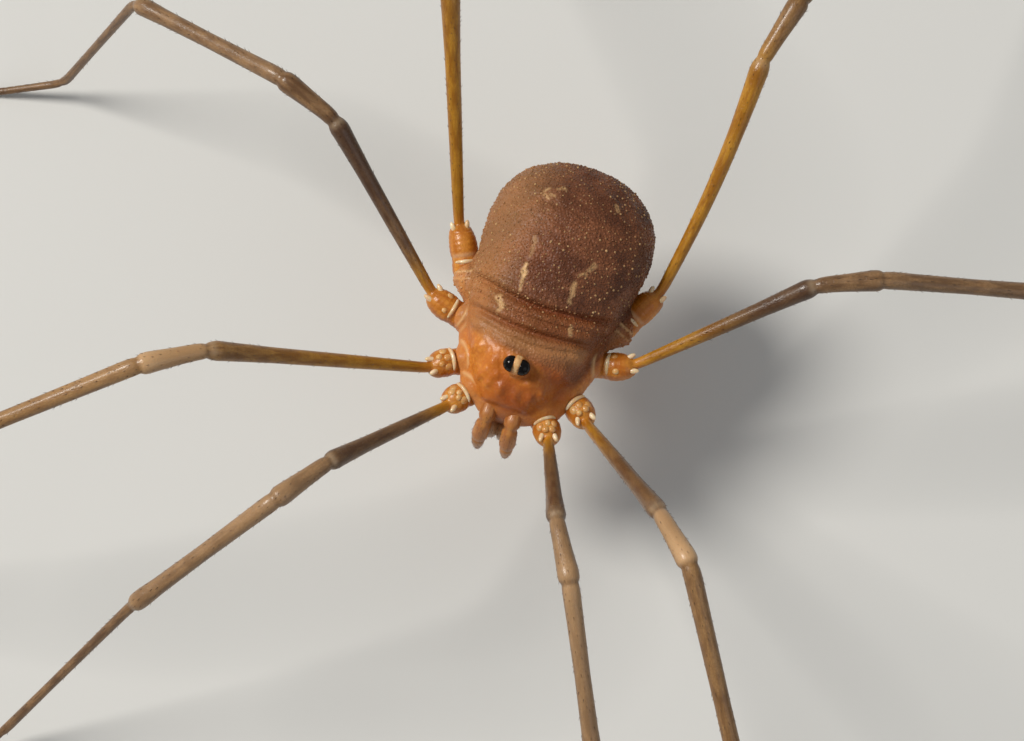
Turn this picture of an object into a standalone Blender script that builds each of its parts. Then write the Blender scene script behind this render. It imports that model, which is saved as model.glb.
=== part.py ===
"""A harvestman standing on its eight legs, life size.

Units are metres, written as millimetres times MM. The head faces -Y, the animal's left is +X
and the floor is z = 0. The middle of the footprint stands over the origin.
"""

import math

import bmesh
import bpy
import numpy as np
from mathutils import Vector

MM = 0.001
LEFT = 1
RIGHT = -1
SIDE_NAMES = {LEFT: "left", RIGHT: "right"}

# Clearances between one plate or leg segment and the next
GAP = 0.25 * MM
EYE_GAP = 0.08 * MM

# Trunk: along the body, half width, height of the widest line, top and bottom (mm)
TRUNK_STATIONS = (
    (-2.02, 0.30, 7.18, 7.32, 7.02),
    (-1.98, 0.72, 7.15, 7.50, 6.90),
    (-1.70, 1.02, 7.10, 7.78, 6.70),
    (-1.00, 1.50, 7.05, 8.10, 6.35),
    (0.00, 1.98, 7.05, 8.38, 6.15),
    (1.00, 2.32, 7.10, 8.72, 5.90),
    (2.00, 2.58, 7.15, 9.05, 5.45),
    (3.10, 2.78, 7.15, 9.30, 5.00),
    (4.30, 2.88, 7.10, 9.36, 4.75),
    (5.40, 2.72, 7.00, 9.10, 4.85),
    (6.25, 2.20, 6.95, 8.52, 5.20),
    (6.78, 1.42, 6.90, 7.95, 5.75),
    (6.98, 0.60, 6.88, 7.35, 6.45),
)
TRUNK_SIDES = 28
RINGS_PER_STATION = 3
SECTION_POWER = 2.15
WAIST = 0.40 * MM            # where the carapace ends and the abdomen begins

# Cross furrows of the back: along the body at the midline, depth, half width (mm)
FURROWS = (
    (-0.02, 0.06, 0.12),
    (1.20, 0.13, 0.15),
    (2.35, 0.05, 0.16),
    (3.50, 0.05, 0.16),
    (4.65, 0.04, 0.16),
)
FURROW_BOW = 0.10 / MM       # how far each furrow swings back towards the flanks

# Eye mound and eyes
MOUND_AT = Vector((0.0, -0.85, 8.30)) * MM
MOUND_SIZE = Vector((0.42, 0.50, 0.60)) * MM
EYE_AT = Vector((0.20, -0.87, 8.58)) * MM
EYE_RADIUS = 0.27 * MM
EYE_FACE = 0.18 * MM         # distance of an eye's flat inner face from the midline

# Mouthparts of the left side: point along the limb and its radius (mm)
PALP_POINTS = (
    (0.44, -1.55, 6.70, 0.25),
    (0.44, -2.05, 6.78, 0.27),
    (0.45, -2.48, 6.62, 0.27),
    (0.48, -2.76, 6.18, 0.28),
    (0.50, -2.90, 5.62, 0.26),
    (0.50, -2.92, 5.05, 0.25),
    (0.49, -2.86, 4.55, 0.22),
    (0.47, -2.74, 4.25, 0.14),
)
CHELICERA_POINTS = (
    (0.30, -1.30, 6.10, 0.20),
    (0.28, -1.80, 6.12, 0.21),
    (0.28, -2.16, 6.02, 0.21),
    (0.27, -2.34, 5.68, 0.22),
    (0.26, -2.36, 5.25, 0.20),
    (0.24, -2.30, 4.88, 0.12),
)

# Left hips: inner end and shoulder of the coxa, middle of the trochanter, start of the femur (mm)
COXA_ROOT = {
    1: (0.55, -0.78, 5.85),
    2: (0.75, -0.10, 5.78),
    3: (0.85, 0.58, 5.72),
    4: (1.20, 1.42, 5.66),
}
COXA_SHOULDER = {
    1: (1.24, -1.60, 6.24),
    2: (1.82, -0.68, 6.20),
    3: (2.30, 0.74, 6.22),
    4: (2.72, 2.06, 6.12),
}
TROCHANTER = {
    1: (1.64, -2.08, 6.45),
    2: (2.44, -1.02, 6.45),
    3: (3.08, 0.84, 6.45),
    4: (3.16, 3.00, 6.45),
}
HIP = {
    1: (1.76, -2.40, 6.60),
    2: (2.75, -1.40, 6.60),
    3: (3.60, 1.05, 6.60),
    4: (3.60, 3.67, 6.60),
}

# Lengths of femur, patella, tibia, metatarsus and tarsus for each pair of legs (mm)
SEGMENT_LENGTHS = {
    1: (6.05, 2.30, 6.40, 8.20, 10.5),
    2: (9.30, 2.35, 9.40, 11.20, 17.5),
    3: (6.95, 2.25, 6.50, 7.60, 11.0),
    4: (8.85, 2.40, 8.20, 11.00, 14.5),
}

# Stance. Headings are degrees from straight ahead towards the leg's own side, pitches are
# degrees above the level. Femur, patella and tibia have both; the metatarsus comes down to
# the ankle height, and the tarsus lies along the floor from its first heading to its second.
STANCE = {
    (1, LEFT): ((19.5, 49.9), (30.4, 9.3), (30.1, -32.0), 33.0, (34.0, 46.0)),
    (1, RIGHT): ((34.6, 33.7), (30.8, 13.2), (39.4, -31.6), 36.4, (38.0, 52.0)),
    (2, LEFT): ((39.7, 54.9), (43.8, 25.8), (35.7, -26.0), 40.0, (44.0, 62.0)),
    (2, RIGHT): ((62.4, 35.6), (52.6, 14.6), (53.1, -22.0), 55.0, (54.0, 40.0)),
    (3, LEFT): ((128.0, 27.2), (113.7, 5.2), (112.4, -20.0), 104.0, (100.0, 84.0)),
    (3, RIGHT): ((126.1, 29.7), (107.2, 7.6), (104.8, -20.7), 61.0, (68.0, 84.0)),
    (4, LEFT): ((175.0, 29.4), (166.9, 14.6), (160.0, -24.0), 158.0, (152.0, 136.0)),
    (4, RIGHT): ((155.3, 44.5), (150.0, 12.0), (148.0, -26.0), 150.0, (146.0, 132.0)),
}
FEMUR_BOW = {(4, LEFT): 0.20 * MM}  # how far the middle of a femur swings outwards
ANKLE_HEIGHT = 0.95 * MM
TOUCHDOWN = 0.24             # share of the tarsus that slopes down before it lies flat
FLAT_DEPTH = 0.03 * MM       # how much of a tarsus the floor trims to a flat
BEND_TRIM = 0.55 * MM        # how far before and after a joint a leg starts to bend
BEND_STEPS = 8

# Leg profiles: share of the segment's length and radius (mm)
PROFILES = {
    "coxa": (
        (0.00, 0.22), (0.30, 0.33), (0.52, 0.47), (0.60, 0.49), (0.66, 0.43),
        (0.75, 0.52), (0.86, 0.51), (0.95, 0.40), (1.00, 0.33),
    ),
    "femur": (
        (0.00, 0.25), (0.05, 0.25), (0.14, 0.25), (0.40, 0.26),
        (0.70, 0.28), (0.88, 0.33), (0.95, 0.35), (1.00, 0.29),
    ),
    "patella": (
        (0.00, 0.28), (0.12, 0.29), (0.40, 0.31), (0.65, 0.35), (0.85, 0.38), (1.00, 0.31),
    ),
    "tibia": (
        (0.00, 0.29), (0.06, 0.30), (0.25, 0.30), (0.55, 0.29),
        (0.80, 0.31), (0.92, 0.34), (0.97, 0.33), (1.00, 0.27),
    ),
    "metatarsus": (
        (0.00, 0.26), (0.05, 0.26), (0.30, 0.25), (0.65, 0.25), (0.94, 0.25), (1.00, 0.25),
    ),
    "tarsus": (
        (0.00, 0.25), (0.08, 0.25), (0.18, 0.25), (0.26, 0.25), (0.45, 0.25),
        (0.62, 0.25), (0.78, 0.23), (0.91, 0.18), (1.00, 0.10),
    ),
}
TUBE_RESOLUTION = 2
TUBE_SIDES = 8

# Colours: base colour, roughness, coat
FINISHES = {
    "amber_shell": ((0.42, 0.15, 0.045), 0.42, 0.35),
    "brown_granular_shell": ((0.075, 0.030, 0.018), 0.60, 0.15),
    "eye_black": ((0.006, 0.004, 0.004), 0.08, 1.0),
    "leg_amber": ((0.36, 0.13, 0.035), 0.40, 0.35),
    "leg_brown": ((0.13, 0.055, 0.030), 0.45, 0.30),
}


def clear_scene():
    """Remove every object that is already in the scene."""
    for item in list(bpy.data.objects):
        bpy.data.objects.remove(item, do_unlink=True)


def make_collection(name):
    """Return a new collection linked to the scene."""
    group = bpy.data.collections.new(name)
    bpy.context.scene.collection.children.link(group)
    return group


def make_materials():
    """Return one Principled BSDF material for each finish."""
    materials = {}
    for name, (colour, roughness, coat) in FINISHES.items():
        material = bpy.data.materials.new(name)
        material.use_nodes = True
        shader = material.node_tree.nodes["Principled BSDF"]
        shader.inputs["Base Color"].default_value = (*colour, 1.0)
        shader.inputs["Roughness"].default_value = roughness
        shader.inputs["Metallic"].default_value = 0.0
        shader.inputs["Coat Weight"].default_value = coat
        materials[name] = material
    return materials


def add_mesh_object(name, mesh, material, group):
    """Link a mesh under its node name, with its own copy of the finish."""
    item = bpy.data.objects.new(name, mesh)
    group.objects.link(item)
    mesh.materials.clear()
    own = material.copy()
    own.name = name + "_finish"
    mesh.materials.append(own)
    mesh.shade_smooth()
    mesh.set_sharp_from_angle(angle=math.radians(50))
    return item


def mesh_from(bm, name):
    """Turn a bmesh with its faces pointing out into mesh data."""
    bmesh.ops.recalc_face_normals(bm, faces=bm.faces)
    mesh = bpy.data.meshes.new(name)
    bm.to_mesh(mesh)
    bm.free()
    return mesh


def keep_largest_piece(mesh):
    """Drop every closed surface but the one with the most volume."""
    bm = bmesh.new()
    bm.from_mesh(mesh)
    unseen = set(bm.verts)
    pieces = []
    while unseen:
        piece = {unseen.pop()}
        edge_of_search = list(piece)
        while edge_of_search:
            vert = edge_of_search.pop()
            for edge in vert.link_edges:
                other = edge.other_vert(vert)
                if other in unseen:
                    unseen.remove(other)
                    piece.add(other)
                    edge_of_search.append(other)
        pieces.append(piece)

    def spread(piece):
        points = np.array([vert.co for vert in piece])
        return np.prod(np.ptp(points, axis=0))

    largest = max(pieces, key=spread)
    extra = [vert for vert in bm.verts if vert not in largest]
    bmesh.ops.delete(bm, geom=extra, context="VERTS")
    bm.to_mesh(mesh)
    bm.free()


def cut_away(item, cutter):
    """Apply a Boolean difference and keep the largest piece that is left."""
    modifier = item.modifiers.new("cut", "BOOLEAN")
    modifier.operation = "DIFFERENCE"
    modifier.solver = "EXACT"
    modifier.object = cutter
    apply_modifiers(item)
    keep_largest_piece(item.data)


def apply_modifiers(item):
    """Replace an object's mesh by its evaluated mesh."""
    depsgraph = bpy.context.evaluated_depsgraph_get()
    mesh = bpy.data.meshes.new_from_object(item.evaluated_get(depsgraph))
    item.modifiers.clear()
    item.data = mesh


def smooth_through(stations, steps):
    """Sample a Catmull-Rom curve through rows of numbers, with its ends kept."""
    rows = np.array(stations)
    padded = np.vstack([2 * rows[0] - rows[1], rows, 2 * rows[-1] - rows[-2]])
    samples = []
    for index in range(1, len(padded) - 2):
        before, start, end, after = padded[index - 1:index + 3]
        for step in range(steps):
            t = step / steps
            samples.append(
                0.5 * (2 * start + (end - before) * t
                       + (2 * before - 5 * start + 4 * end - after) * t ** 2
                       + (3 * start - before - 3 * end + after) * t ** 3)
            )
    samples.append(rows[-1])
    return np.array(samples)


def furrow_depth(across, along):
    """Depth of the cross furrows at a place on the back."""
    depth = 0.0
    for middle, deep, half_width in FURROWS:
        line = middle * MM + FURROW_BOW * across ** 2
        depth += deep * MM * math.exp(-((along - line) / (half_width * MM)) ** 2)
    return depth


def trunk_ring(station, swell):
    """One cross section of the trunk, grown outwards by the swell."""
    along, half_width, middle, top, bottom = station
    ring = []
    for index in range(TRUNK_SIDES):
        angle = 2 * math.pi * index / TRUNK_SIDES
        across = math.copysign(abs(math.cos(angle)) ** (2 / SECTION_POWER), math.cos(angle))
        rise = math.copysign(abs(math.sin(angle)) ** (2 / SECTION_POWER), math.sin(angle))
        x = across * (half_width + swell)
        reach = (top - middle if rise > 0 else middle - bottom) + swell
        z = middle + rise * reach
        z -= max(rise, 0.0) * furrow_depth(x, along)
        ring.append(Vector((x, along, z)))
    return ring


def loft(rings):
    """Skin closed rings of equal count and cap both ends with a fan."""
    bm = bmesh.new()
    loops = [[bm.verts.new(point) for point in ring] for ring in rings]
    count = len(rings[0])
    for first, second in zip(loops[:-1], loops[1:]):
        for index in range(count):
            after = (index + 1) % count
            bm.faces.new((first[index], first[after], second[after], second[index]))
    for loop in (loops[0], loops[-1]):
        hub = bm.verts.new(sum((vert.co for vert in loop), Vector()) / count)
        for index in range(count):
            bm.faces.new((loop[index], loop[(index + 1) % count], hub))
    return bm


def trunk_stations():
    """Every cross section of the trunk in metres, from the front margin to the rear."""
    return smooth_through(TRUNK_STATIONS, RINGS_PER_STATION) * MM


def station_at(stations, along):
    """The trunk's cross section at one distance along the body."""
    values = [np.interp(along, stations[:, 0], stations[:, column]) for column in range(1, 5)]
    return np.array([along, *values])


def trunk_part(name, start, end, swell=0.0):
    """A length of the trunk between two distances along the body."""
    stations = trunk_stations()
    margin = 0.04 * MM
    inner = [row for row in stations if start + margin < row[0] < end - margin]
    rows = [station_at(stations, start), *inner, station_at(stations, end)]
    return mesh_from(loft([trunk_ring(row, swell) for row in rows]), name)


def add_trunk_cutter(group):
    """The whole trunk grown by the gap, to trim what grows from it."""
    stations = trunk_stations()
    rows = stations.copy()
    rows[0, 0] -= GAP
    rows[-1, 0] += GAP
    mesh = mesh_from(loft([trunk_ring(row, GAP) for row in rows]), "trunk_cutter")
    cutter = bpy.data.objects.new("trunk_cutter", mesh)
    cutter.hide_render = True
    cutter.display_type = "WIRE"
    group.objects.link(cutter)
    return cutter


def add_trunk(materials, group):
    """Carapace and abdomen, parted by a thin cross gap."""
    stations = trunk_stations()
    front = stations[0, 0]
    rear = stations[-1, 0]
    prosoma = trunk_part("prosoma", front, WAIST - GAP / 2)
    abdomen = trunk_part("abdomen", WAIST + GAP / 2, rear)
    return [
        add_mesh_object("prosoma", prosoma, materials["amber_shell"], group),
        add_mesh_object("abdomen", abdomen, materials["brown_granular_shell"], group),
    ]


def ball(name, centre, size, segments, rings):
    """A closed ellipsoid as mesh data, in place."""
    bm = bmesh.new()
    bmesh.ops.create_uvsphere(bm, u_segments=segments, v_segments=rings, radius=1.0)
    for vert in bm.verts:
        vert.co = Vector([c + v * s for c, v, s in zip(centre, vert.co, size)])
    return mesh_from(bm, name)


def trim_by_plane(mesh, point, outward):
    """Slice a closed mesh, drop what lies beyond the plane and close the cut."""
    bm = bmesh.new()
    bm.from_mesh(mesh)
    everything = bm.verts[:] + bm.edges[:] + bm.faces[:]
    bmesh.ops.bisect_plane(
        bm, geom=everything, dist=1e-7, plane_co=point, plane_no=outward, clear_outer=True
    )
    rim = [edge for edge in bm.edges if edge.is_boundary]
    bmesh.ops.holes_fill(bm, edges=rim)
    bmesh.ops.recalc_face_normals(bm, faces=bm.faces)
    bm.to_mesh(mesh)
    bm.free()


def eye_mesh(name, side, swell):
    """A glossy dome that faces sideways, flat on the midline side."""
    centre = Vector((side * EYE_AT.x, EYE_AT.y, EYE_AT.z))
    radius = EYE_RADIUS + swell
    mesh = ball(name, centre, (radius, radius, radius), 16, 10)
    face = Vector((side * (EYE_FACE - swell), 0.0, 0.0))
    trim_by_plane(mesh, face, Vector((-side, 0.0, 0.0)))
    return mesh


def add_eyes(trunk_cutter, materials, group, cutters):
    """The mound on the carapace with an eye in each of its two sockets."""
    mound = add_mesh_object(
        "ocularium", ball("ocularium", MOUND_AT, MOUND_SIZE, 20, 14),
        materials["amber_shell"], group,
    )
    cut_away(mound, trunk_cutter)
    items = [mound]
    for side in (LEFT, RIGHT):
        name = "eye_" + SIDE_NAMES[side]
        socket = bpy.data.objects.new(name + "_socket", eye_mesh(name, side, EYE_GAP))
        socket.hide_render = True
        socket.display_type = "WIRE"
        cutters.objects.link(socket)
        cut_away(mound, socket)
        mesh = eye_mesh(name, side, 0.0)
        items.append(add_mesh_object(name, mesh, materials["eye_black"], group))
    return items


def add_tube(name, points, radii, material, group):
    """A round limb along its points, capped at both ends, as a closed mesh object."""
    curve = bpy.data.curves.new(name, "CURVE")
    curve.dimensions = "3D"
    curve.bevel_depth = 1.0
    curve.bevel_resolution = TUBE_RESOLUTION
    curve.use_fill_caps = True
    spline = curve.splines.new("POLY")
    spline.points.add(len(points) - 1)
    for control, point, radius in zip(spline.points, points, radii):
        control.co = (*point, 1.0)
        control.radius = radius
    guide = bpy.data.objects.new(name + "_guide", curve)
    group.objects.link(guide)
    depsgraph = bpy.context.evaluated_depsgraph_get()
    mesh = bpy.data.meshes.new_from_object(guide.evaluated_get(depsgraph))
    bm = bmesh.new()
    bm.from_mesh(mesh)
    bmesh.ops.remove_doubles(bm, verts=bm.verts, dist=1e-6)
    bmesh.ops.recalc_face_normals(bm, faces=bm.faces)
    bm.to_mesh(mesh)
    bm.free()
    item = add_mesh_object(name, mesh, material, group)
    item.matrix_world = guide.matrix_world
    bpy.data.objects.remove(guide, do_unlink=True)
    return item


def add_mouthparts(trunk_cutter, materials, group):
    """Pedipalps that hang in front of the head, and the chelicerae between them."""
    items = []
    for limb, table in (("pedipalp", PALP_POINTS), ("chelicera", CHELICERA_POINTS)):
        for side in (LEFT, RIGHT):
            rows = smooth_through(table, 2) * MM
            points = [Vector((side * row[0], row[1], row[2])) for row in rows]
            name = limb + "_" + SIDE_NAMES[side]
            item = add_tube(name, points, rows[:, 3], materials["leg_amber"], group)
            cut_away(item, trunk_cutter)
            items.append(item)
    return items


def direction(side, heading, pitch):
    """Unit vector of a leg segment from its heading and pitch in degrees."""
    turn = math.radians(heading)
    lift = math.radians(pitch)
    return Vector((side * math.sin(turn) * math.cos(lift),
                   -math.cos(turn) * math.cos(lift),
                   math.sin(lift)))


def mirrored(point, side):
    """A place given for the left side in mm, on either side in metres."""
    return Vector((side * point[0], point[1], point[2])) * MM


def tarsus_points(ankle, side, length, headings):
    """Corners of a tarsus that comes down from the ankle and lies along the floor."""
    slope_length = TOUCHDOWN * length
    rest_height = PROFILES["tarsus"][3][1] * MM * math.cos(math.pi / TUBE_SIDES) - FLAT_DEPTH
    tip_height = PROFILES["tarsus"][-1][1] * MM * math.cos(math.pi / TUBE_SIDES) - FLAT_DEPTH
    drop = math.degrees(math.asin((ankle.z - rest_height) / slope_length))
    points = [ankle + direction(side, headings[0], -drop) * slope_length]
    rest = length - slope_length
    steps = 5
    for step in range(1, steps + 1):
        share = step / steps
        heading = headings[0] + (headings[1] - headings[0]) * (share - 0.5 / steps)
        point = points[-1] + direction(side, heading, 0.0) * rest / steps
        point.z = rest_height + (tip_height - rest_height) * max(0.0, share - 0.6) / 0.4
        points.append(point)
    return points


def leg_corners(pair, side):
    """Corners of one leg from the coxa's inner end to the tip of the tarsus."""
    femur, patella, tibia, metatarsus_heading, tarsus_headings = STANCE[pair, side]
    lengths = [length * MM for length in SEGMENT_LENGTHS[pair]]
    hip_places = (COXA_ROOT, COXA_SHOULDER, TROCHANTER, HIP)
    corners = [mirrored(place[pair], side) for place in hip_places]
    for (heading, pitch), length in zip((femur, patella, tibia), lengths):
        corners.append(corners[-1] + direction(side, heading, pitch) * length)
    drop = math.degrees(math.asin((corners[-1].z - ANKLE_HEIGHT) / lengths[3]))
    ankle = corners[-1] + direction(side, metatarsus_heading, -drop) * lengths[3]
    corners.append(ankle)
    corners.extend(tarsus_points(ankle, side, lengths[4], tarsus_headings))
    return corners


def bent_path(corners):
    """Round every corner; return the path, distances along it and each corner's distance."""
    points = [corners[0]]
    middles = []
    for before, corner, after in zip(corners[:-2], corners[1:-1], corners[2:]):
        trim_in = min(BEND_TRIM, 0.45 * (corner - before).length)
        trim_out = min(BEND_TRIM, 0.45 * (after - corner).length)
        start = corner + (before - corner).normalized() * trim_in
        end = corner + (after - corner).normalized() * trim_out
        for step in range(BEND_STEPS + 1):
            t = step / BEND_STEPS
            points.append(start * (1 - t) ** 2 + corner * 2 * t * (1 - t) + end * t ** 2)
            if step == BEND_STEPS // 2:
                middles.append(len(points) - 1)
    points.append(corners[-1])
    path = np.array(points)
    steps = np.linalg.norm(np.diff(path, axis=0), axis=1)
    distances = np.concatenate([[0.0], np.cumsum(steps)])
    return path, distances, distances[middles]


def point_on(path, distances, distance):
    """The place at one distance along a path."""
    return Vector([np.interp(distance, distances, path[:, axis]) for axis in range(3)])


def segment_points(kind, path, distances, start, end, bow):
    """Centre line of one leg segment, swung sideways by the bow at its middle."""
    points = []
    for share, radius in PROFILES[kind]:
        point = point_on(path, distances, start + share * (end - start))
        points.append(point + bow * math.sin(math.pi * share))
    return points


def femur_bow(pair, side):
    """Sideways swing at the middle of a femur, level and square to its heading."""
    heading = STANCE[pair, side][0][0]
    return direction(side, heading - 90.0, 0.0) * FEMUR_BOW.get((pair, side), 0.0)


def add_leg(pair, side, trunk_cutter, materials, group):
    """Coxa with trochanter, femur, patella, tibia, metatarsus and tarsus of one leg."""
    corners = leg_corners(pair, side)
    path, distances, middles = bent_path(corners)
    hip, knee, patella_end, tibia_end, ankle = middles[2:7]
    ends = {
        "coxa": (0.0, hip - GAP),
        "femur": (hip, knee),
        "patella": (knee + GAP, patella_end),
        "tibia": (patella_end + GAP, tibia_end),
        "metatarsus": (tibia_end + GAP, ankle),
        "tarsus": (ankle + GAP, distances[-1]),
    }
    items = []
    for kind, (start, end) in ends.items():
        name = "leg" + str(pair) + "_" + SIDE_NAMES[side] + "_" + kind
        finish = "leg_amber" if kind == "coxa" or (kind == "femur" and pair == 4) else "leg_brown"
        bow = femur_bow(pair, side) if kind == "femur" else Vector()
        points = segment_points(kind, path, distances, start, end, bow)
        radii = [radius * MM for share, radius in PROFILES[kind]]
        item = add_tube(name, points, radii, materials[finish], group)
        if kind == "coxa":
            cut_away(item, trunk_cutter)
        if kind == "tarsus":
            trim_by_plane(item.data, Vector((0.0, 0.0, 0.0)), Vector((0.0, 0.0, -1.0)))
        items.append(item)
    return items


def stand_over_origin(items):
    """Carry every piece on one empty that centres the footprint on the origin."""
    tips = [leg_corners(pair, side)[-1] for pair, side in STANCE]
    middle_x = (max(tip.x for tip in tips) + min(tip.x for tip in tips)) / 2
    middle_y = (max(tip.y for tip in tips) + min(tip.y for tip in tips)) / 2
    carrier = bpy.data.objects.new("harvestman_carrier", None)
    bpy.context.scene.collection.objects.link(carrier)
    for item in items:
        item.parent = carrier
    carrier.location = (-middle_x, -middle_y, 0.0)


def main():
    """Build the whole animal."""
    clear_scene()
    group = make_collection("harvestman")
    cutters = make_collection("cutters")
    materials = make_materials()
    trunk_cutter = add_trunk_cutter(cutters)
    items = add_trunk(materials, group)
    items += add_eyes(trunk_cutter, materials, group, cutters)
    items += add_mouthparts(trunk_cutter, materials, group)
    for pair, side in STANCE:
        items += add_leg(pair, side, trunk_cutter, materials, group)
    stand_over_origin(items)
    bpy.context.view_layer.update()


main()
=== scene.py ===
# %% [markdown]
# # A harvestman on eight long legs
# A museum-style model of a harvestman, life size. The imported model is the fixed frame: its nodes
# say where each plate, leg segment and foot is, and this lesson dresses them. Skins replace the
# plain solids of the trunk, the mouthparts and the legs, and the glossy eyes stay pieces of their own.

# %% Load the frame
import math

import bmesh
import bpy
import numpy as np
from mathutils import Matrix, Vector


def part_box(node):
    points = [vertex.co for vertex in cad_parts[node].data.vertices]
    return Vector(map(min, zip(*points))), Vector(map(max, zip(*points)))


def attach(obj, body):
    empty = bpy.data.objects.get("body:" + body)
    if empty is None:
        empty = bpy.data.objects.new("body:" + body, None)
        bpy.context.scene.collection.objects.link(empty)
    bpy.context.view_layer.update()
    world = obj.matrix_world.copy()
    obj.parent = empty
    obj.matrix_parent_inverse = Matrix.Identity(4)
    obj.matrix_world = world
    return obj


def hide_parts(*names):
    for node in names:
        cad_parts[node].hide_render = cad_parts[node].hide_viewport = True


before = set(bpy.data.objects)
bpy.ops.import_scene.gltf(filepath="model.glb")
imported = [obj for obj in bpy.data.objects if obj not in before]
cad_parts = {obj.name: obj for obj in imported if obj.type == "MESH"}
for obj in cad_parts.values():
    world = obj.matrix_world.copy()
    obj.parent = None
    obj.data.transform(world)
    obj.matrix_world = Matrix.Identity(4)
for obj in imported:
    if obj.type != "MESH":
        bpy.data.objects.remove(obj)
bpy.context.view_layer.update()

print("nodes in the frame:", len(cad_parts))

# %% [markdown]
# The animal is tiny, and Blender's merge distances and Geometry Nodes are happier with sizes near
# one. So every shape is worked out in millimetres in the trunk's own frame, with the head towards
# -Y and the animal's left at +X, and the finished mesh is brought into the frame in metres. The
# abdomen's box tells where the trunk stands.

# %% Place of the trunk in the frame
MM = 0.001
LEFT = 1
RIGHT = -1
SIDE_NAMES = {LEFT: "left", RIGHT: "right"}
TRUNK_REAR = 6.98            # mm along the trunk, at the abdomen's rear end

abdomen_low, abdomen_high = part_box("abdomen")
TRUNK_SHIFT = Vector((
    (abdomen_low.x + abdomen_high.x) / 2 / MM,
    abdomen_high.y / MM - TRUNK_REAR,
    0.0,
))
TO_FRAME = Matrix.Scale(MM, 4) @ Matrix.Translation(TRUNK_SHIFT)
print("trunk frame is shifted by", [round(value, 3) for value in TRUNK_SHIFT], "mm")

# %% [markdown]
# The camera looks steeply down from the head's side with a long lens, a little from the animal's
# left, and it is rolled, so that the head points to the lower left. Its place follows from those
# angles, its distance and the size of one pixel at the point it looks at.

# %% Camera
CAMERA_TARGET = Vector((-0.1697, -0.6347, 6.9290))
CAMERA_DISTANCE = 160.0
CAMERA_ELEVATION = 74.0
CAMERA_LEAN = 2.7
CAMERA_ROLL = 20.4
PIXEL_AT_TARGET = 0.0336
PICTURE_WIDTH = 1024
SENSOR_WIDTH = 36.0


def camera_axes():
    """Unit vectors to the right, up and back of the camera, before the roll."""
    back_x = math.sin(math.radians(CAMERA_LEAN))
    back_y = -math.cos(math.radians(CAMERA_ELEVATION))
    back = Vector((back_x, back_y, math.sqrt(1 - back_x ** 2 - back_y ** 2)))
    ahead = Vector((0.0, 1.0, 0.0))
    up = (ahead - back * ahead.dot(back)).normalized()
    return up.cross(back), up, back


right_axis, up_axis, back_axis = camera_axes()
roll = math.radians(CAMERA_ROLL)
view_right = right_axis * math.cos(roll) + up_axis * math.sin(roll)
view_up = up_axis * math.cos(roll) - right_axis * math.sin(roll)
camera_data = bpy.data.cameras.new("view")
camera_data.sensor_width = SENSOR_WIDTH
camera_data.lens = SENSOR_WIDTH * CAMERA_DISTANCE / (PIXEL_AT_TARGET * PICTURE_WIDTH)
camera_data.clip_start = 0.01
camera_data.clip_end = 20.0
camera = bpy.data.objects.new("view", camera_data)
bpy.context.scene.collection.objects.link(camera)
turn = Matrix((view_right, view_up, back_axis)).transposed()
camera.matrix_world = (
    Matrix.Translation(TO_FRAME @ (CAMERA_TARGET + back_axis * CAMERA_DISTANCE)) @ turn.to_4x4()
)
bpy.context.scene.camera = camera
print("lens", round(camera_data.lens, 1), "mm")

# %% [markdown]
# A plain pale floor carries the model, as a museum's table would. One soft lamp stands to the
# upper left of the picture, where the sun came from, and it is small enough to leave a glint on
# the eyes and the granules. A wider, weaker lamp opens the shadows on the other side.

# %% Floor and light
FLOOR_SIZE = 3.0
FLOOR_COLOUR = (0.66, 0.66, 0.64)
# Lamps: name, way to it (right, up and out of the picture), distance, size (m), watts, colour
LAMPS = (
    ("key", (-0.85, 0.60, 1.0), 0.45, 0.16, 1.9, (1.0, 0.96, 0.90)),
    ("fill", (0.9, -0.5, 0.9), 0.60, 0.50, 0.45, (0.95, 0.97, 1.0)),
)
SKY_COLOUR = (0.96, 0.98, 1.0)
SKY_STRENGTH = 0.27


def add_floor():
    """A wide pale floor at z = 0 that isn't part of the object."""
    half = FLOOR_SIZE / 2
    mesh = bpy.data.meshes.new("floor")
    corners = [(-half, -half, 0.0), (half, -half, 0.0), (half, half, 0.0), (-half, half, 0.0)]
    mesh.from_pydata(corners, [], [(0, 1, 2, 3)])
    floor = bpy.data.objects.new("floor", mesh)
    bpy.context.scene.collection.objects.link(floor)
    paint = bpy.data.materials.new("floor_paint")
    paint.use_nodes = True
    shader = paint.node_tree.nodes["Principled BSDF"]
    shader.inputs["Base Color"].default_value = (*FLOOR_COLOUR, 1.0)
    shader.inputs["Roughness"].default_value = 0.85
    mesh.materials.append(paint)


def add_lamp(name, towards, distance, size, watts, colour):
    """An area lamp in one direction from the trunk, aimed at it."""
    data = bpy.data.lights.new(name, "AREA")
    data.shape = "DISK"
    data.size = size
    data.energy = watts
    data.color = colour
    lamp = bpy.data.objects.new(name, data)
    bpy.context.scene.collection.objects.link(lamp)
    towards = towards.normalized()
    lamp.location = TO_FRAME @ CAMERA_TARGET + towards * distance
    lamp.rotation_mode = "QUATERNION"
    lamp.rotation_quaternion = towards.to_track_quat("Z", "Y")


add_floor()
for name, (right, up, out), distance, size, watts, colour in LAMPS:
    towards = view_right * right + view_up * up + back_axis * out
    add_lamp(name, towards, distance, size, watts, colour)
world = bpy.data.worlds.new("studio")
world.use_nodes = True
sky = world.node_tree.nodes["Background"]
sky.inputs["Color"].default_value = (*SKY_COLOUR, 1.0)
sky.inputs["Strength"].default_value = SKY_STRENGTH
bpy.context.scene.world = world
bpy.context.scene.view_settings.view_transform = "Standard"
print("two lamps over a pale floor")

# %% [markdown]
# The helpers come next. A mesh is made from arrays of points and faces, and numbers that the
# materials read, such as how amber or how pale a place is, are stored on its points. Limbs are
# swept: rings of points round a centre line, each ring with its own radius, closed at both ends.

# %% Mesh helpers
pieces = {}


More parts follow.
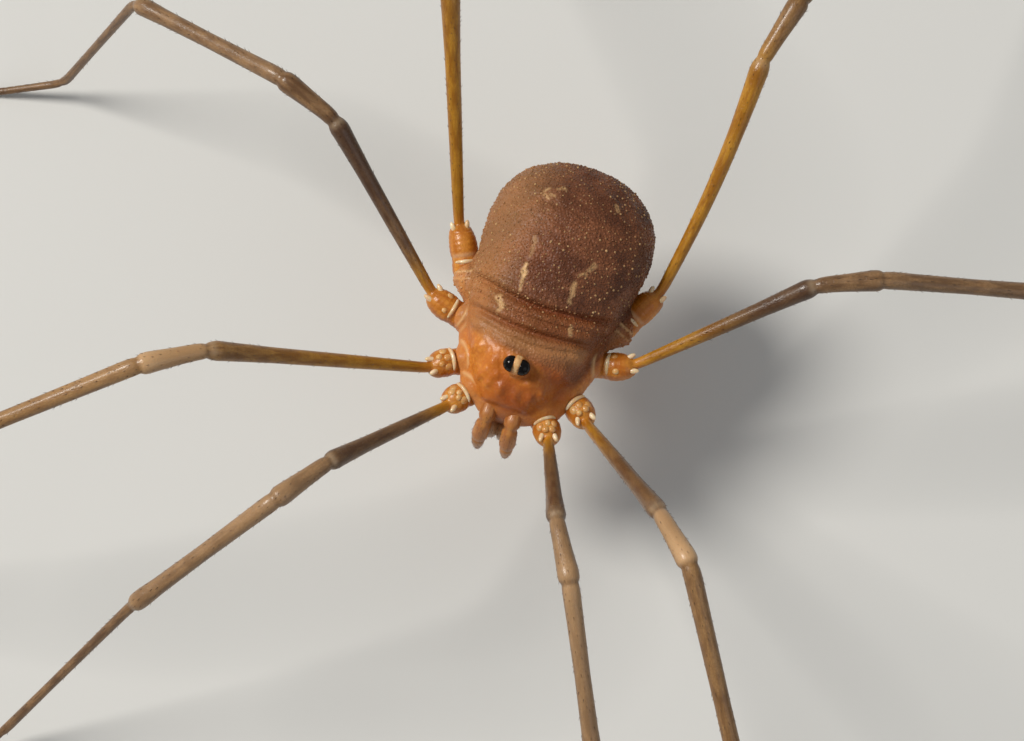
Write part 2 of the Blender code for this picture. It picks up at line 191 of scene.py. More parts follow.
def smoothstep(start, end, value):
    """Rise from 0 to 1 between two values, with level ends."""
    share = np.clip((value - start) / (end - start), 0.0, 1.0)
    return share * share * (3 - 2 * share)


def smooth_through(stations, steps):
    """Sample a Catmull-Rom curve through rows of numbers, with its ends kept."""
    rows = np.array(stations, float)
    padded = np.vstack([2 * rows[0] - rows[1], rows, 2 * rows[-1] - rows[-2]])
    samples = []
    for index in range(1, len(padded) - 2):
        before, start, end, after = padded[index - 1:index + 3]
        for step in range(steps):
            t = step / steps
            samples.append(
                0.5 * (2 * start + (end - before) * t
                       + (2 * before - 5 * start + 4 * end - after) * t ** 2
                       + (3 * start - before - 3 * end + after) * t ** 3)
            )
    samples.append(rows[-1])
    return np.array(samples)


def ripple(points, size, seed):
    """Soft unevenness between about -1 and 1, with swells of one size."""
    rng = np.random.default_rng(seed)
    total = np.zeros(points.shape[:-1])
    for _ in range(7):
        way = rng.normal(size=3)
        way /= np.linalg.norm(way)
        total += np.sin(points @ way * (2 * math.pi / size) + rng.uniform(0, 2 * math.pi))
    return total / 3.5


def grid_faces(rings, sides):
    """Quads between rings of points, and fans to the two hub points that follow them."""
    faces = []
    for ring in range(rings - 1):
        for side in range(sides):
            after = (side + 1) % sides
            low, high = ring * sides, (ring + 1) * sides
            faces.append((low + side, low + after, high + after, high + side))
    first_hub, last_hub = rings * sides, rings * sides + 1
    last = (rings - 1) * sides
    for side in range(sides):
        after = (side + 1) % sides
        faces.append((after, side, first_hub))
        faces.append((last + side, last + after, last_hub))
    return faces


def with_hubs(grid):
    """Flatten a grid of points or numbers and add the mean of its first and last ring."""
    flat = grid.reshape(-1, *grid.shape[2:])
    hubs = np.stack([grid[0].mean(axis=0), grid[-1].mean(axis=0)])
    return np.concatenate([flat, hubs])


def all_round(values, sides):
    """Give every point of a ring that ring's own number or vector."""
    return np.repeat(np.asarray(values)[:, None], sides, axis=1)


def unit_ball(around, along):
    """Points and faces of a ball of radius 1."""
    bm = bmesh.new()
    bmesh.ops.create_uvsphere(bm, u_segments=around, v_segments=along, radius=1.0)
    points = np.array([vert.co for vert in bm.verts])
    faces = [[vert.index for vert in face.verts] for face in bm.faces]
    bm.free()
    return points, faces


def read_vectors(collection, key):
    """Rows with one vector of everything in a mesh's collection."""
    numbers = np.zeros(len(collection) * 3, np.float32)
    collection.foreach_get(key, numbers)
    return numbers.reshape(-1, 3)


def store_marks(item, marks):
    """Store named numbers or vectors on a mesh's points."""
    for key, values in marks.items():
        values = np.asarray(values, np.float32)
        kind = "FLOAT_VECTOR" if values.ndim == 2 else "FLOAT"
        attribute = item.data.attributes.new(key, kind, "POINT")
        attribute.data.foreach_set("vector" if values.ndim == 2 else "value", values.ravel())


def add_mesh(name, points, faces, marks=None):
    """A smooth mesh object in millimetres, with named numbers on its points."""
    mesh = bpy.data.meshes.new(name)
    mesh.from_pydata(np.asarray(points).tolist(), [], faces)
    item = bpy.data.objects.new(name, mesh)
    store_marks(item, marks or {})
    bm = bmesh.new()
    bm.from_mesh(mesh)
    bmesh.ops.recalc_face_normals(bm, faces=bm.faces)
    bm.to_mesh(mesh)
    bm.free()
    mesh.shade_smooth()
    bpy.context.scene.collection.objects.link(item)
    return item


def settle(item, material, nodes=()):
    """Bring a finished mesh into the frame, finish it and let it ride."""
    item.data.transform(TO_FRAME)
    item.data.update()
    item.data.materials.clear()
    item.data.materials.append(material)
    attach(item, "root")
    if nodes:
        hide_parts(*nodes)
    triangles = sum(len(face.vertices) - 2 for face in item.data.polygons)
    pieces[item.name] = triangles
    print(item.name, "has", triangles, "triangles")


def path_frames(path):
    """Unit vectors along, upwards and sideways at every point of a centre line."""
    along = np.gradient(path, axis=0)
    along /= np.linalg.norm(along, axis=1)[:, None]
    upward = np.array([0.0, 0.0, 1.0]) - along * along[:, 2:3]
    length = np.linalg.norm(upward, axis=1)
    upward /= np.maximum(length, 1e-6)[:, None]
    return along, upward, np.cross(along, upward)


def sweep(path, upward, sideways, radii):
    """Rings of points round a centre line; radii has one row of radii for each ring."""
    angles = 2 * math.pi * np.arange(radii.shape[1]) / radii.shape[1]
    return (path[:, None, :]
            + radii[:, :, None] * (np.cos(angles)[None, :, None] * upward[:, None, :]
                                   + np.sin(angles)[None, :, None] * sideways[:, None, :]))


# %% [markdown]
# Colours follow the animal: a waxy amber head shield, a dark chocolate abdomen with a fine grain,
# legs that start amber and turn brown, cream joints and black eyes. Two shader groups are shared.
# One mixes a light and a dark tone of a finish in patches and fine specks, darkens the valleys between the
# grains with painted shade and gives the height of a bump, and one makes the long streaks and the net of
# fine lines that run along a leg.

# %% Shader groups
PALETTE = {
    "abdomen_light": (0.275, 0.101, 0.043),
    "abdomen_dark": (0.088, 0.029, 0.013),
    "amber_light": (0.690, 0.258, 0.037),
    "amber_dark": (0.460, 0.120, 0.012),
    # Red-brown, also mixed in as painted shade in the furrows and on the head's left side.
    "russet_and_shade": (0.205, 0.036, 0.008),
    "belly": (0.520, 0.255, 0.100),
    "dash": (0.740, 0.470, 0.220),
    "cream": (0.880, 0.700, 0.470),
    "cream_shade": (0.680, 0.450, 0.230),
    "bump_light": (0.720, 0.430, 0.170),
    "bump_dark": (0.560, 0.250, 0.060),
    "leg_amber_light": (0.480, 0.225, 0.014),
    "leg_amber_dark": (0.300, 0.115, 0.004),
    "leg_brown_light": (0.265, 0.148, 0.064),
    "leg_brown_dark": (0.118, 0.058, 0.024),
    "joint": (0.560, 0.345, 0.175),
    # Dark brown, partly the legs' own colour and partly painted shade.
    "dark_and_shade": (0.046, 0.019, 0.010),
    "seta": (0.030, 0.016, 0.010),
}


def add_node(tree, kind, **settings):
    """A node with its properties set."""
    node = tree.nodes.new(kind)
    for key, value in settings.items():
        setattr(node, key, value)
    return node


def feed(tree, socket, value):
    """Link a socket to another one, or set its number or its colour."""
    if isinstance(value, bpy.types.NodeSocket):
        tree.links.new(value, socket)
    elif isinstance(value, tuple):
        socket.default_value = (*value, 1.0)
    else:
        socket.default_value = value


def noise(tree, vector, scale, detail, distortion=0.0):
    """The grey value of a noise texture."""
    node = add_node(tree, "ShaderNodeTexNoise")
    for key, value in (
        ("Vector", vector), ("Scale", scale), ("Detail", detail), ("Distortion", distortion),
    ):
        feed(tree, node.inputs[key], value)
    return node.outputs["Fac"]


def ramp(tree, value, start, end, low=0.0, high=1.0):
    """Map a value smoothly from one range to another."""
    node = add_node(tree, "ShaderNodeMapRange", interpolation_type="SMOOTHSTEP")
    for key, number in (
        ("Value", value), ("From Min", start), ("From Max", end), ("To Min", low), ("To Max", high),
    ):
        feed(tree, node.inputs[key], number)
    return node.outputs["Result"]


def mix(tree, factor, first, second):
    """Mix two colours, each a socket or three numbers."""
    node = add_node(tree, "ShaderNodeMix", data_type="RGBA")
    for index, value in ((0, factor), (6, first), (7, second)):
        feed(tree, node.inputs[index], value)
    return node.outputs[2]


def maths(tree, operation, first, second):
    """One sum on two values, each a socket or a number."""
    node = add_node(tree, "ShaderNodeMath", operation=operation)
    feed(tree, node.inputs[0], first)
    feed(tree, node.inputs[1], second)
    return node.outputs[0]


def new_group(name, inputs, outputs):
    """An empty shader group with named inputs and outputs."""
    tree = bpy.data.node_groups.new(name, "ShaderNodeTree")
    kinds = {"value": "NodeSocketFloat", "colour": "NodeSocketColor", "vector": "NodeSocketVector"}
    for key, kind in inputs:
        tree.interface.new_socket(key, in_out="INPUT", socket_type=kinds[kind])
    for key, kind in outputs:
        tree.interface.new_socket(key, in_out="OUTPUT", socket_type=kinds[kind])
    return tree, tree.nodes.new("NodeGroupInput"), tree.nodes.new("NodeGroupOutput")


def make_mottle_group():
    """Patches and specks between a light and a dark tone, painted shade in the valleys between the grains,
    and the height of the grain.
    """
    tree, given, made = new_group(
        "mottled_cuticle",
        (("Vector", "vector"), ("Light", "colour"), ("Dark", "colour"),
         ("Patch Scale", "value"), ("Grain Scale", "value")),
        (("Colour", "colour"), ("Height", "value"), ("Roughness", "value")),
    )
    vector = given.outputs["Vector"]
    patches = noise(tree, vector, given.outputs["Patch Scale"], 3.0, 0.4)
    grain = add_node(tree, "ShaderNodeTexVoronoi", feature="SMOOTH_F1")
    grain.inputs["Smoothness"].default_value = 0.6
    tree.links.new(vector, grain.inputs["Vector"])
    tree.links.new(given.outputs["Grain Scale"], grain.inputs["Scale"])
    tops = ramp(tree, grain.outputs["Distance"], 0.05, 0.75, 1.0, 0.0)
    fine = noise(tree, vector, given.outputs["Grain Scale"], 2.0)
    toned = mix(tree, ramp(tree, patches, 0.30, 0.72), given.outputs["Dark"], given.outputs["Light"])
    # Painted shade: the valleys between the grains are mixed towards the dark tone.
    valley_shaded = mix(tree, ramp(tree, tops, 0.0, 1.0, 0.55, 0.0), toned, given.outputs["Dark"])
    lighter = mix(tree, ramp(tree, fine, 0.56, 0.80, 0.0, 0.5), valley_shaded, given.outputs["Light"])
    tree.links.new(lighter, made.inputs["Colour"])
    tree.links.new(maths(tree, "ADD", tops, maths(tree, "MULTIPLY", fine, 0.35)), made.inputs["Height"])
    tree.links.new(ramp(tree, fine, 0.3, 0.8, 0.36, 0.58), made.inputs["Roughness"])
    return tree


def make_streak_group():
    """Long streaks and a fine net of lines that follow a leg."""
    tree, given, made = new_group(
        "leg_grain",
        (("Place", "vector"), ("Light", "colour"), ("Dark", "colour")),
        (("Colour", "colour"), ("Height", "value"), ("Roughness", "value")),
    )
    stretched = add_node(tree, "ShaderNodeMapping")
    stretched.inputs["Scale"].default_value = (0.9, 3.2, 1.0)
    tree.links.new(given.outputs["Place"], stretched.inputs["Vector"])
    streaks = noise(tree, stretched.outputs["Vector"], 1.6, 4.0, 0.3)
    net = add_node(tree, "ShaderNodeTexVoronoi", feature="DISTANCE_TO_EDGE")
    squeezed = add_node(tree, "ShaderNodeMapping")
    squeezed.inputs["Scale"].default_value = (0.55, 1.0, 1.0)
    tree.links.new(given.outputs["Place"], squeezed.inputs["Vector"])
    tree.links.new(squeezed.outputs["Vector"], net.inputs["Vector"])
    net.inputs["Scale"].default_value = 13.0
    cells = ramp(tree, net.outputs["Distance"], 0.0, 0.22)
    toned = mix(tree, ramp(tree, streaks, 0.32, 0.70), given.outputs["Dark"], given.outputs["Light"])
    lined = mix(tree, ramp(tree, cells, 0.0, 1.0, 0.35, 0.0), toned, given.outputs["Dark"])
    tree.links.new(lined, made.inputs["Colour"])
    tree.links.new(maths(tree, "ADD", cells, maths(tree, "MULTIPLY", streaks, 0.8)), made.inputs["Height"])
    tree.links.new(ramp(tree, streaks, 0.3, 0.75, 0.30, 0.50), made.inputs["Roughness"])
    return tree


MOTTLE = make_mottle_group()
STREAKS = make_streak_group()
print("shader groups:", MOTTLE.name, STREAKS.name)

# %% [markdown]
# Each finish is one material with its Principled shader inside it. Gloss that is the same all
# over is set on the shader's own sockets. The trunk's material turns from amber to chocolate by the
# numbers stored on the skin, and the granules that grow on it use the same material, so that skin
# and grain carry the same markings.

# %% Materials


def use_group(tree, group, vector, light, dark, **numbers):
    """Place a shared group with its own tones and scales."""
    node = add_node(tree, "ShaderNodeGroup", node_tree=group)
    tree.links.new(vector, node.inputs[0])
    feed(tree, node.inputs["Light"], PALETTE[light])
    feed(tree, node.inputs["Dark"], PALETTE[dark])
    for key, value in numbers.items():
        node.inputs[key.replace("_", " ")].default_value = value
    return node


def stored(tree, name):
    """A number that is stored on the points."""
    return add_node(tree, "ShaderNodeAttribute", attribute_name=name).outputs["Fac"]


def new_material(name, roughness, coat, coat_roughness=0.15, glow=0.0, shine=0.35):
    """A material and its Principled shader, with the even parts of its gloss."""
    material = bpy.data.materials.new(name)
    material.use_nodes = True
    shader = material.node_tree.nodes["Principled BSDF"]
    shader.inputs["Roughness"].default_value = roughness
    shader.inputs["Specular IOR Level"].default_value = shine
    shader.inputs["Coat Weight"].default_value = coat
    shader.inputs["Coat Roughness"].default_value = coat_roughness
    shader.inputs["Subsurface Weight"].default_value = glow
    shader.inputs["Subsurface Radius"].default_value = (1.0, 0.40, 0.15)
    shader.inputs["Subsurface Scale"].default_value = 0.35 * MM
    return material, shader


def add_bump(tree, shader, height, distance, strength):
    """Feed a height through a Bump node into the shader's normal."""
    bump = add_node(tree, "ShaderNodeBump")
    bump.inputs["Distance"].default_value = distance
    bump.inputs["Strength"].default_value = strength
    tree.links.new(height, bump.inputs["Height"])
    tree.links.new(bump.outputs["Normal"], shader.inputs["Normal"])


def make_trunk_material():
    """Amber head shield, chocolate abdomen, tan belly and cream marks on one skin, with red-brown that is
    partly painted shade.
    """
    material, shader = new_material(
        "trunk_cuticle", roughness=0.45, coat=0.05, coat_roughness=0.22, glow=0.08, shine=0.22,
    )
    tree = material.node_tree
    vector = add_node(tree, "ShaderNodeTexCoord").outputs["Object"]
    brown = use_group(tree, MOTTLE, vector, "abdomen_light", "abdomen_dark",
                      Patch_Scale=900.0, Grain_Scale=11500.0)
    amber = use_group(tree, MOTTLE, vector, "amber_light", "amber_dark",
                      Patch_Scale=750.0, Grain_Scale=7500.0)
    amber_share = stored(tree, "amber")
    colour = mix(tree, amber_share, brown.outputs["Colour"], amber.outputs["Colour"])
    # Red-brown: partly its own colour, partly painted shade in the furrows and on the head's left side.
    colour = mix(tree, stored(tree, "russet_and_shade"), colour, PALETTE["russet_and_shade"])
    # Tan of the belly and the hips, partly painted light on the right flank and partly painted shade on
    # the left hind hips.
    colour = mix(tree, stored(tree, "belly"), colour, PALETTE["belly"])
    colour = mix(tree, stored(tree, "pale"), colour, PALETTE["dash"])
    tree.links.new(colour, shader.inputs["Base Color"])
    tree.links.new(brown.outputs["Roughness"], shader.inputs["Roughness"])
    tree.links.new(maths(tree, "MULTIPLY", amber_share, 0.16), shader.inputs["Coat Weight"])
    softer = maths(tree, "SUBTRACT", 1.0, maths(tree, "MULTIPLY", amber_share, 0.72))
    height = maths(tree, "MULTIPLY", brown.outputs["Height"], softer)
    add_bump(tree, shader, height, 0.022 * MM, 0.9)
    return material


def make_leg_material():
    """Amber that turns brown along the leg, redder at the hip, with pale joints and darker places that are
    partly painted shade.
    """
    material, shader = new_material(
        "leg_cuticle", roughness=0.38, coat=0.24, coat_roughness=0.16, glow=0.06, shine=0.30,
    )
    tree = material.node_tree
    place = add_node(tree, "ShaderNodeAttribute", attribute_name="place_mm").outputs["Vector"]
    amber = use_group(tree, STREAKS, place, "leg_amber_light", "leg_amber_dark")
    brown = use_group(tree, STREAKS, place, "leg_brown_light", "leg_brown_dark")
    red = use_group(tree, STREAKS, place, "amber_light", "amber_dark")
    colour = mix(tree, stored(tree, "warm"), amber.outputs["Colour"], red.outputs["Colour"])
    colour = mix(tree, stored(tree, "brown"), colour, brown.outputs["Colour"])
    # Darker before the knee and on the mouthparts: partly their own colour, partly painted shade.
    colour = mix(tree, stored(tree, "dark_and_shade"), colour, PALETTE["dark_and_shade"])
    colour = mix(tree, stored(tree, "light"), colour, PALETTE["joint"])
    colour = mix(tree, stored(tree, "pale"), colour, PALETTE["cream"])
    tree.links.new(colour, shader.inputs["Base Color"])
    tree.links.new(amber.outputs["Roughness"], shader.inputs["Roughness"])
    add_bump(tree, shader, amber.outputs["Height"], 0.010 * MM, 0.45)
    return material


def make_cream_material(name, dark, light):
    """The waxy finish of the teeth, ridges and bumps round the hips."""
    material, shader = new_material(name, roughness=0.32, coat=0.4, glow=0.2)
    tree = material.node_tree
    vector = add_node(tree, "ShaderNodeTexCoord").outputs["Object"]
    tone = ramp(tree, noise(tree, vector, 2600.0, 3.0), 0.35, 0.72)
    colour = mix(tree, tone, PALETTE[dark], PALETTE[light])
    tree.links.new(colour, shader.inputs["Base Color"])
    add_bump(tree, shader, noise(tree, vector, 12000.0, 2.0), 0.008 * MM, 0.5)
    return material


def make_eye_material():
    """A black wet lens, with a painted brown sheen where it turns away from the camera."""
    material, shader = new_material(
        "eye_gloss", roughness=0.05, coat=0.12, coat_roughness=0.02, shine=0.12,
    )
    tree = material.node_tree
    facing = add_node(tree, "ShaderNodeLayerWeight")
    facing.inputs["Blend"].default_value = 0.35
    # Painted sheen: brown where the lens turns away from the camera.
    edge = ramp(tree, facing.outputs["Facing"], 0.45, 1.0, 0.0, 0.6)
    colour = mix(tree, edge, (0.004, 0.003, 0.003), (0.040, 0.020, 0.012))
    tree.links.new(colour, shader.inputs["Base Color"])
    return material


def make_dark_material(name, roughness):
    """Dark brown horn for claws and setae, with a faint change of tone."""
    material, shader = new_material(name, roughness, coat=0.2)
    tree = material.node_tree
    vector = add_node(tree, "ShaderNodeTexCoord").outputs["Object"]
    tone = ramp(tree, noise(tree, vector, 1500.0, 2.0), 0.3, 0.7)
    colour = mix(tree, tone, PALETTE["seta"], PALETTE["leg_brown_dark"])
    tree.links.new(colour, shader.inputs["Base Color"])
    return material


TRUNK_FINISH = make_trunk_material()
LEG_FINISH = make_leg_material()
# The cream of the teeth is their own; on the crescents it is partly a painted highlight.
CREAM_AND_HIGHLIGHT_FINISH = make_cream_material("cream_and_highlight_ridges", "cream_shade", "cream")
BUMP_FINISH = make_cream_material("amber_bumps", "bump_dark", "bump_light")
EYE_FINISH = make_eye_material()
CLAW_FINISH = make_dark_material("claw_horn", 0.25)
SETA_FINISH = make_dark_material("seta_brown", 0.45)
print("materials:", len(bpy.data.materials))

# %% [markdown]
# The trunk is one closed skin: head shield, abdomen, eye mound and the fleshy roots of the legs
# together, so that no seam shows. The main form is a loft through cross sections that are slightly
# squarer than ellipses, the same ones that the solids have. The skin lies a hair's breadth inside
# them, and the soft abdomen swings a little to the left and ends a little sooner, as in the photo.

# %% Trunk sections
# Along the body, half width, height of the widest line, top and bottom (mm)
TRUNK_STATIONS = (
    (-2.02, 0.30, 7.18, 7.32, 7.02),
    (-1.98, 0.72, 7.15, 7.50, 6.90),
    (-1.70, 1.02, 7.10, 7.78, 6.70),
    (-1.00, 1.50, 7.05, 8.10, 6.35),
    (0.00, 1.98, 7.05, 8.38, 6.15),
    (1.00, 2.32, 7.10, 8.72, 5.90),
    (2.00, 2.58, 7.15, 9.05, 5.45),
    (3.10, 2.78, 7.15, 9.30, 5.00),
    (4.30, 2.88, 7.10, 9.36, 4.75),
    (5.40, 2.72, 7.00, 9.10, 4.85),
    (6.25, 2.20, 6.95, 8.52, 5.20),
    (6.78, 1.42, 6.90, 7.95, 5.75),
    (6.98, 0.60, 6.88, 7.35, 6.45),
)
TRUNK_SIDES = 120
TRUNK_RINGS = 150
SECTION_POWER = 2.15                   # 2 would give an ellipse
SKIN_INSET = 0.03
ABDOMEN_SWING = 0.13
ABDOMEN_TUCK = 0.09
SECTION_TABLE = smooth_through(TRUNK_STATIONS, 40)


def even_rows(rows, count):
    """Pick rows at even steps along a path through their numbers."""
    steps = np.linalg.norm(np.diff(rows, axis=0), axis=1)
    distance = np.concatenate([[0.0], np.cumsum(steps)])
    wanted = np.linspace(0.0, distance[-1], count)
    return np.stack([np.interp(wanted, distance, column) for column in rows.T], axis=1)


def lofted(rows, inset, squareness):
    """Points and faces of a closed loft through cross sections."""
    along, half, middle, top, bottom = even_rows(rows, TRUNK_RINGS).T
    angles = 2 * math.pi * np.arange(TRUNK_SIDES) / TRUNK_SIDES
    power = 2 / squareness
    across = np.sign(np.cos(angles)) * np.abs(np.cos(angles)) ** power
    rise = np.sign(np.sin(angles)) * np.abs(np.sin(angles)) ** power
    reach = np.where(rise[None, :] > 0, (top - middle)[:, None], (middle - bottom)[:, None])
    x = across[None, :] * (half - inset)[:, None]
    y = np.repeat(along[:, None], TRUNK_SIDES, axis=1)
    z = middle[:, None] + rise[None, :] * (reach - inset)
    return with_hubs(np.stack([x, y, z], axis=2)), grid_faces(TRUNK_RINGS, TRUNK_SIDES)


def rise_of(points):
    """How far up (to 1) or down (to -1) its cross section each point is."""
    middle, top, bottom = (
        np.interp(points[:, 1], SECTION_TABLE[:, 0], column) for column in SECTION_TABLE.T[2:]
    )
    height = points[:, 2] - middle
    reach = np.where(height > 0, top - middle, middle - bottom)
    return np.clip(height / np.maximum(reach, 0.05), -1.0, 1.0)


def beyond_trunk(points):
    """How far each point stands out sideways from the plain trunk."""
    half = np.interp(points[:, 1], SECTION_TABLE[:, 0], SECTION_TABLE[:, 1])
    level = np.abs(rise_of(points)) ** SECTION_POWER
    return np.abs(points[:, 0]) - half * (1 - level) ** (1 / SECTION_POWER)


# %% [markdown]
# Broad fleshy lobes carry the hips, and a flat skirt of flesh, lofted as the trunk is, fills the
# space between them, so that each leg seems to grow out of the body. The lobes are flattened bars
# and balls. A voxel remesh fuses all of it with the trunk and the eye mound into one surface, which
# a little smoothing softens at the creases. Each lobe and each section stays a named row.

# %% Hips and lobes
# Left hips: inner end and shoulder of the coxa, middle of the trochanter, start of the femur (mm)
COXA_ROOT = {
    1: (0.55, -0.78, 5.85),
    2: (0.75, -0.10, 5.78),
    3: (0.85, 0.58, 5.72),
    4: (1.20, 1.42, 5.66),
}
COXA_SHOULDER = {
    1: (1.24, -1.60, 6.24),
    2: (1.82, -0.68, 6.20),
    3: (2.30, 0.74, 6.22),
    4: (2.72, 2.06, 6.12),
}
TROCHANTER = {
    1: (1.64, -2.08, 6.45),
    2: (2.44, -1.02, 6.45),
    3: (3.08, 0.84, 6.45),
    4: (3.16, 3.00, 6.45),
}
HIP = {
    1: (1.76, -2.40, 6.60),
    2: (2.75, -1.40, 6.60),
    3: (3.60, 1.05, 6.60),
    4: (3.60, 3.67, 6.60),
}
MOUND_AT = (0.0, -0.83, 8.30)
MOUND_SIZE = (0.36, 0.36, 0.58)        # half width, half length and half height
# Inner end of each hip lobe (mm), how far it ends before the shoulder, half width, half height
LOBES = {
    1: ((0.50, -0.75, 6.98), 0.10, 0.58, 0.60),
    2: ((0.80, -0.10, 7.02), 0.06, 0.60, 0.60),
    3: ((1.05, 0.55, 6.90), 0.02, 0.58, 0.60),
    4: ((1.75, 1.30, 6.60), -0.14, 0.56, 0.58),
}
LOBE_RAISE = 0.17                      # how far a lobe's outer end lies above the coxa's middle
LOBE_CAP = 0.30
# Skirt of flesh between the hips: along, half width, height of its edge, top and bottom (mm)
SKIRT_STATIONS = (
    (-2.30, 0.42, 6.42, 6.62, 6.26),
    (-2.14, 0.94, 6.46, 7.10, 6.12),
    (-1.66, 1.70, 6.48, 7.56, 6.04),
    (-1.10, 1.98, 6.48, 7.80, 5.98),
    (-0.14, 2.36, 6.50, 8.04, 5.92),
    (0.60, 2.48, 6.52, 8.08, 5.84),
    (1.35, 2.60, 6.54, 8.04, 5.78),
    (2.30, 2.98, 6.58, 7.90, 5.72),
    (2.80, 3.00, 6.56, 7.60, 5.74),
    (3.30, 2.76, 6.56, 7.20, 5.80),
    (3.65, 2.30, 6.58, 6.80, 6.00),
)
SKIRT_POWER = 1.45
SKIRT_SWING = 0.10                     # to the animal's left
# Flesh behind the mouthparts: centre, width and height of each ball (mm)
WEBS = (
    ((0.60, -1.84, 6.44), 0.42, 0.38),
    ((0.16, -1.98, 6.24), 0.34, 0.38),
)
VOXEL = 0.047                          # finer ones would give the skin too many triangles
SMOOTH_PASSES = 15


def bar(start, end, half_width, half_height, cap):
    """A closed rounded bar between two points, with flattened ends."""
    ball, faces = unit_ball(32, 20)
    start, run = np.array(start), np.array(end) - np.array(start)
    length = np.linalg.norm(run)
    along = run / length
    across = np.cross([0.0, 0.0, 1.0], along)
    across /= np.linalg.norm(across)
    lifted = np.cross(along, across)
    ahead = np.where(ball[:, :1] > 0, length, 0.0) + ball[:, :1] * cap
    points = (start + ahead * along + ball[:, 1:2] * half_width * across
              + ball[:, 2:] * half_height * lifted)
    return points, faces


def join_shapes(shapes):
    """Points and faces of several closed shapes as one mesh."""
    points, faces, count = [], [], 0
    for shape_points, shape_faces in shapes:
        points.append(shape_points)
        faces.extend([tuple(index + count for index in face) for face in shape_faces])
        count += len(shape_points)
    return np.concatenate(points), faces


def hip_axis(pair, side):
    """The shoulder of a coxa and the unit vector from it towards the trochanter."""
    mirror = np.array([side, 1.0, 1.0])
    shoulder = np.array(COXA_SHOULDER[pair]) * mirror
    run = np.array(TROCHANTER[pair]) * mirror - shoulder
    return shoulder, run / np.linalg.norm(run)


def trunk_shapes():
    """The plain trunk, the skirt, the eye mound, and the lobes and webs of both sides."""
    centre, size = np.array(MOUND_AT), MOUND_SIZE
    ahead = np.array([0.0, 0.01, 0.0])
    skirt_points, skirt_faces = lofted(smooth_through(SKIRT_STATIONS, 20), 0.0, SKIRT_POWER)
    skirt_points[:, 0] += SKIRT_SWING
    shapes = [lofted(SECTION_TABLE, SKIN_INSET, SECTION_POWER), (skirt_points, skirt_faces),
              bar(centre - ahead, centre + ahead, size[0], size[2], size[1])]
    for side in (LEFT, RIGHT):
        mirror = np.array([side, 1.0, 1.0])
        for pair, (inner, short, half_width, half_height) in LOBES.items():
            shoulder, way = hip_axis(pair, side)
            outer = shoulder - way * short + np.array([0.0, 0.0, LOBE_RAISE])
            shapes.append(bar(np.array(inner) * mirror, outer, half_width, half_height, LOBE_CAP))
        for centre, width, height in WEBS:
            middle = np.array(centre) * mirror
            shapes.append(bar(middle - ahead, middle + ahead, width, height, width))
    return shapes


def fused(name, shapes, voxel, passes):
    """Fuse closed shapes into one mesh, and return the object and its smoothed points."""
    item = add_mesh(name, *join_shapes(shapes))
    modifier = item.modifiers.new("fuse", "REMESH")
    modifier.mode = "VOXEL"
    modifier.voxel_size = voxel
    depsgraph = bpy.context.evaluated_depsgraph_get()
    mesh = bpy.data.meshes.new_from_object(item.evaluated_get(depsgraph))
    item.modifiers.clear()
    item.data = mesh
    count = len(mesh.vertices)
    points = read_vectors(mesh.vertices, "co").astype(float)
    edges = np.zeros(len(mesh.edges) * 2, np.int32)
    mesh.edges.foreach_get("vertices", edges)
    first, second = edges.reshape(-1, 2).T
    neighbours = np.bincount(first, minlength=count) + np.bincount(second, minlength=count)
    for _ in range(passes):
        total = np.stack([
            np.bincount(first, points[second, axis], count)
            + np.bincount(second, points[first, axis], count)
            for axis in range(3)
        ], axis=1)
        points = 0.5 * points + 0.5 * total / neighbours[:, None]
    return item, points


def place_points(item, points):
    """Move a mesh's points, and return its outward normals there."""
    mesh = item.data
    mesh.vertices.foreach_set("co", points.astype(np.float32).ravel())
    mesh.update()
    return read_vectors(mesh.vertex_normals, "vector").astype(float)


trunk, trunk_points = fused("trunk_skin", trunk_shapes(), VOXEL, SMOOTH_PASSES)
print("fused trunk:", len(trunk_points), "points")

# %% [markdown]
# Cross furrows part the plates of the back. The deepest ones lie at the waist and behind the first
# free plate, and each swings back towards the flanks. Low swellings on the head shield lead out to
# the hips, the front margin has small bumps over the mouthparts, and the belly has its own plates.

# %% Relief of the back and the belly
# Cross furrows: place at the midline, depth, half width, swing towards the flanks (mm, 1/mm)
BACK_FURROWS = (
    (-1.36, 0.016, 0.07, -0.16),
    (-0.02, 0.060, 0.08, 0.13),
    (0.38, 0.150, 0.105, 0.09),
    (0.80, 0.045, 0.06, 0.10),
    (1.20, 0.185, 0.12, 0.10),
    (2.35, 0.022, 0.10, 0.08),
    (3.50, 0.018, 0.10, 0.06),
    (4.65, 0.018, 0.10, 0.04),
)
BELLY_FURROWS = (2.45, 3.30, 4.15, 4.95, 5.70)
# Swellings on both sides: sideways, along, height, half width, half length
HEAD_SWELLS = (
    (0.80, -0.95, 0.13, 0.24, 0.36),
    (1.05, -1.28, 0.13, 0.16, 0.20),
    (1.46, -0.42, 0.14, 0.24, 0.24),
    (1.80, 0.30, 0.10, 0.22, 0.26),
    (0.28, -1.66, 0.09, 0.15, 0.20),
    (0.74, -1.52, 0.10, 0.14, 0.17),
    (0.62, -0.20, 0.04, 0.30, 0.20),
    (0.55, -1.22, 0.06, 0.14, 0.16),
)
OPERCULUM = (0.66, -0.95, 2.15)        # half width, front and rear of the belly's cover plate
FLANK_FOLD = 0.26                      # from one fold to the next, as a share of the flank's height


def bell(value, middle, half_width):
    """A smooth hump of height 1."""
    return np.exp(-((value - middle) / half_width) ** 2)


def furrow_relief(x, y, rise):
    """How far furrows lower the back, with a soft lip behind each."""
    relief = np.zeros_like(x)
    for middle, depth, half_width, swing in BACK_FURROWS:
        line = middle + swing * x ** 2
        relief -= depth * bell(y, line, half_width)
        relief += 0.35 * depth * bell(y, line + 2.2 * half_width, 1.3 * half_width)
    return relief * smoothstep(0.05, 0.50, rise)


